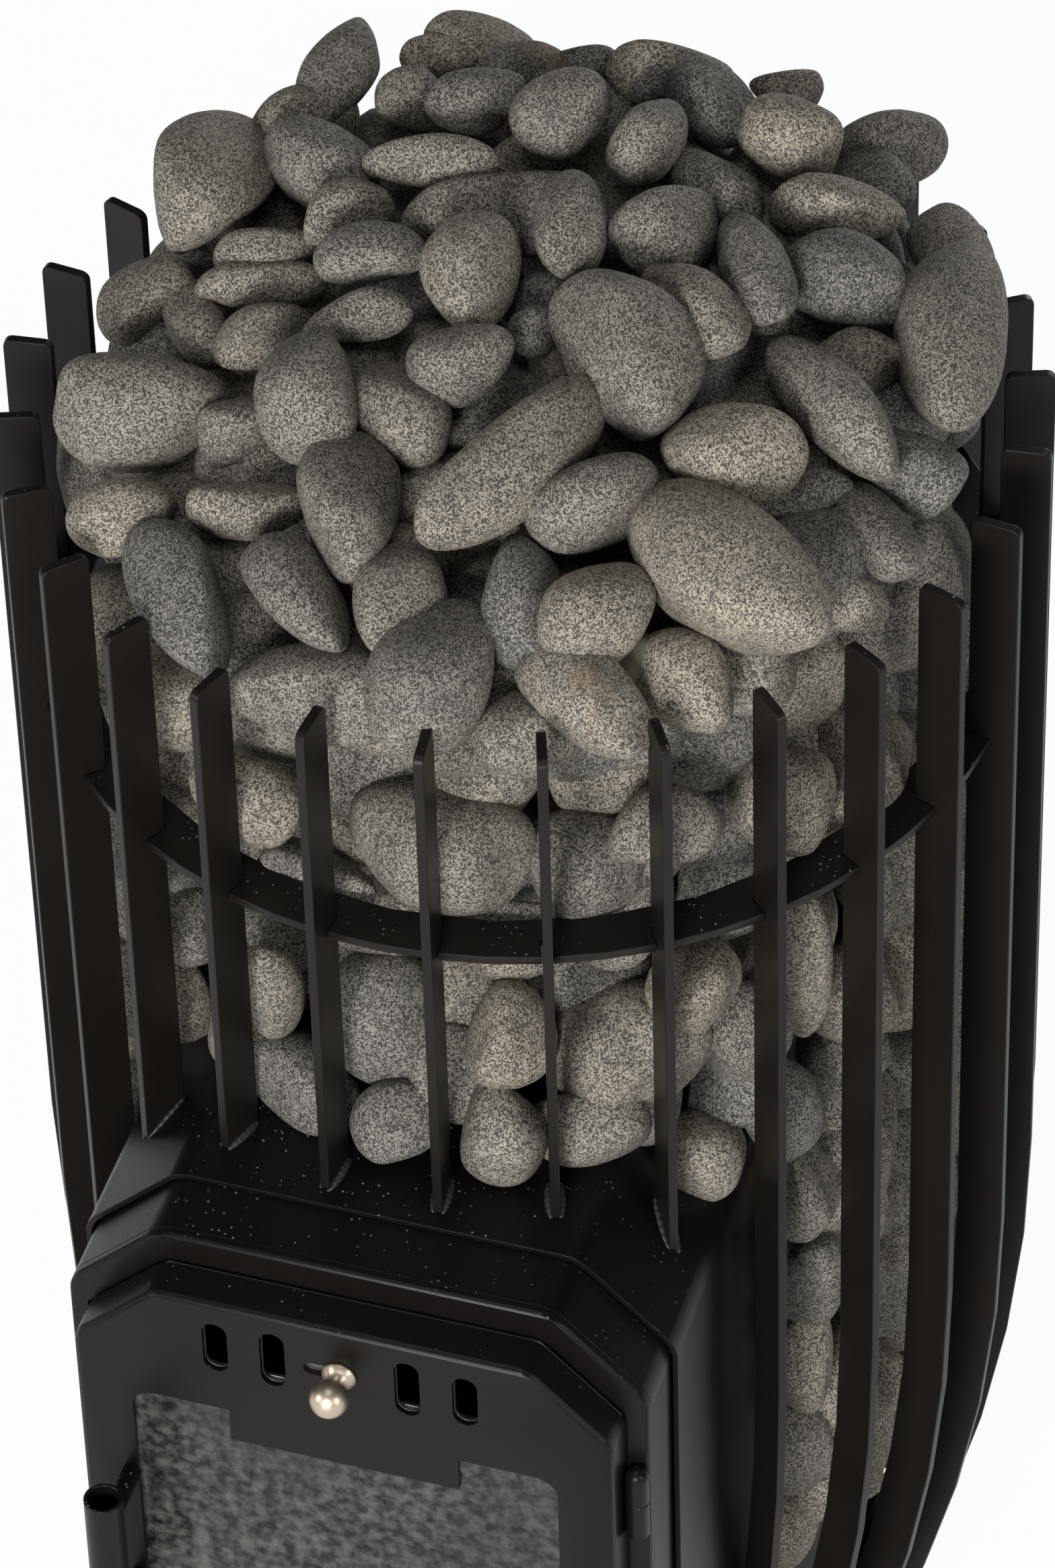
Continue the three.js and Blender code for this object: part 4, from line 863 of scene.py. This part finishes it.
# %% Weld seams
BAR_COUNT, BAR_THICK = 28, 5 * MM
FOOT_MID_R, ROOF_FLAT = 249.5 * MM, 104.5 * MM
WELD_LONG, WELD_THICK = 12.5 * MM, 2.7 * MM
WELD_WAVE, WELD_WAVES = 0.12, 22.0
weld_shape = bmesh.new()
for step in (-2.5, -1.5, -0.5, 0.5, 1.5, 2.5):
    out, aside, _ = turned_axes(-math.pi / 2 + step * 2 * math.pi / BAR_COUNT)
    for side in (-1, 1):
        bead = bmesh.ops.create_icosphere(weld_shape, subdivisions=FINE, radius=1.0)["verts"]
        for vert in bead:
            p = vert.co.copy()
            thick = WELD_THICK * (1.0 + WELD_WAVE * math.sin(p.x * WELD_WAVES))
            spot = out * (FOOT_MID_R + p.x * WELD_LONG) + aside * (side * BAR_THICK / 2 + p.y * thick)
            spot.z = ROOF_Z - max(0.0, abs(spot.x) - ROOF_FLAT) + p.z * thick
            vert.co = spot
# The welds' lighter grey is painted sheen on black paint.
put("bar_welds", weld_shape, "stove", weld_painted_sheen)
print("weld seams made")

# %% [markdown]
# The floor is plain and pale. More light would make it white but would wash out the stove, so it
# glows for rays that come from the camera, from shiny metal or through glass. A small share of its
# own surface stays, and keeps a soft shadow.

# %% Floor
FLOOR_SIZE, FLOOR_DROP, WHITE_SHARE = 40.0, 1 * MM, 0.95
floor_shape = bmesh.new()
bmesh.ops.create_grid(floor_shape, x_segments=1, y_segments=1, size=FLOOR_SIZE)
floor_mesh = bpy.data.meshes.new("studio_floor")
floor_shape.to_mesh(floor_mesh)
floor_shape.free()
floor = bpy.data.objects.new("studio_floor", floor_mesh)
bpy.context.scene.collection.objects.link(floor)
floor.location.z = -FLOOR_DROP
backing = Finish("studio_white", roughness=0.9)
path = backing.tree.nodes.new("ShaderNodeLightPath")
camera_ray, glossy_ray, glass_ray = (
    Wire(backing, path.outputs[ray])
    for ray in ("Is Camera Ray", "Is Glossy Ray", "Is Transmission Ray"))
seen = backing.math("MAXIMUM", backing.math("MAXIMUM", camera_ray, glossy_ray), glass_ray)
glow = backing.node("ShaderNodeEmission", None, {"Color": (1, 1, 1, 1), "Strength": 1.0})
pale_floor = backing.blend(backing.grain(2.0), (0.78, 0.78, 0.77), (0.84, 0.84, 0.83))
backing.set(base_color=pale_floor)
mixed = backing.node(
    "ShaderNodeMixShader", None,
    {0: seen * WHITE_SHARE, 1: Wire(backing, backing.shader.outputs[0]), 2: glow})
backing.tree.links.new(mixed.socket, backing.tree.nodes["Material Output"].inputs["Surface"])
floor_mesh.materials.append(backing.material)
print("floor", floor.name)

# %% [markdown]
# Broad soft lamps stand in front, at both sides, above and behind, and the world adds a little.
# Most light comes from the front, so the paint reads as a soft grey on faces that look there.

# %% Light
WORLD_STRENGTH = 0.07
LAMPS = {
    "key_lamp": ((0.2, -3.5, 1.6), (0, 0, 0.6), 1.3, 126),
    "left_lamp": ((-2.6, -2.2, 1.9), (0, 0, 0.6), 1.4, 35),
    "right_lamp": ((2.8, -1.5, 1.7), (0, 0, 0.5), 1.4, 31),
    "top_lamp": ((0.0, -0.6, 3.4), (0, 0, 0.7), 1.4, 10),
    "back_lamp": ((0.6, 3.4, 1.5), (0, 0, 0.5), 1.6, 45),
}
world = bpy.data.worlds.new("studio_world")
world.use_nodes = True
world.node_tree.nodes["Background"].inputs["Color"].default_value = (1, 1, 1, 1)
world.node_tree.nodes["Background"].inputs["Strength"].default_value = WORLD_STRENGTH
bpy.context.scene.world = world

for name, (place, target, size, watts) in LAMPS.items():
    light = bpy.data.lights.new(name, "AREA")
    light.shape = "DISK"
    light.size = size
    light.energy = watts
    lamp = bpy.data.objects.new(name, light)
    bpy.context.scene.collection.objects.link(lamp)
    lamp.location = place
    lamp.rotation_mode = "QUATERNION"
    lamp.rotation_quaternion = (Vector(target) - Vector(place)).to_track_quat("-Z", "Y")
bpy.context.scene.view_settings.view_transform = "Standard"
print("lamps", len(LAMPS))
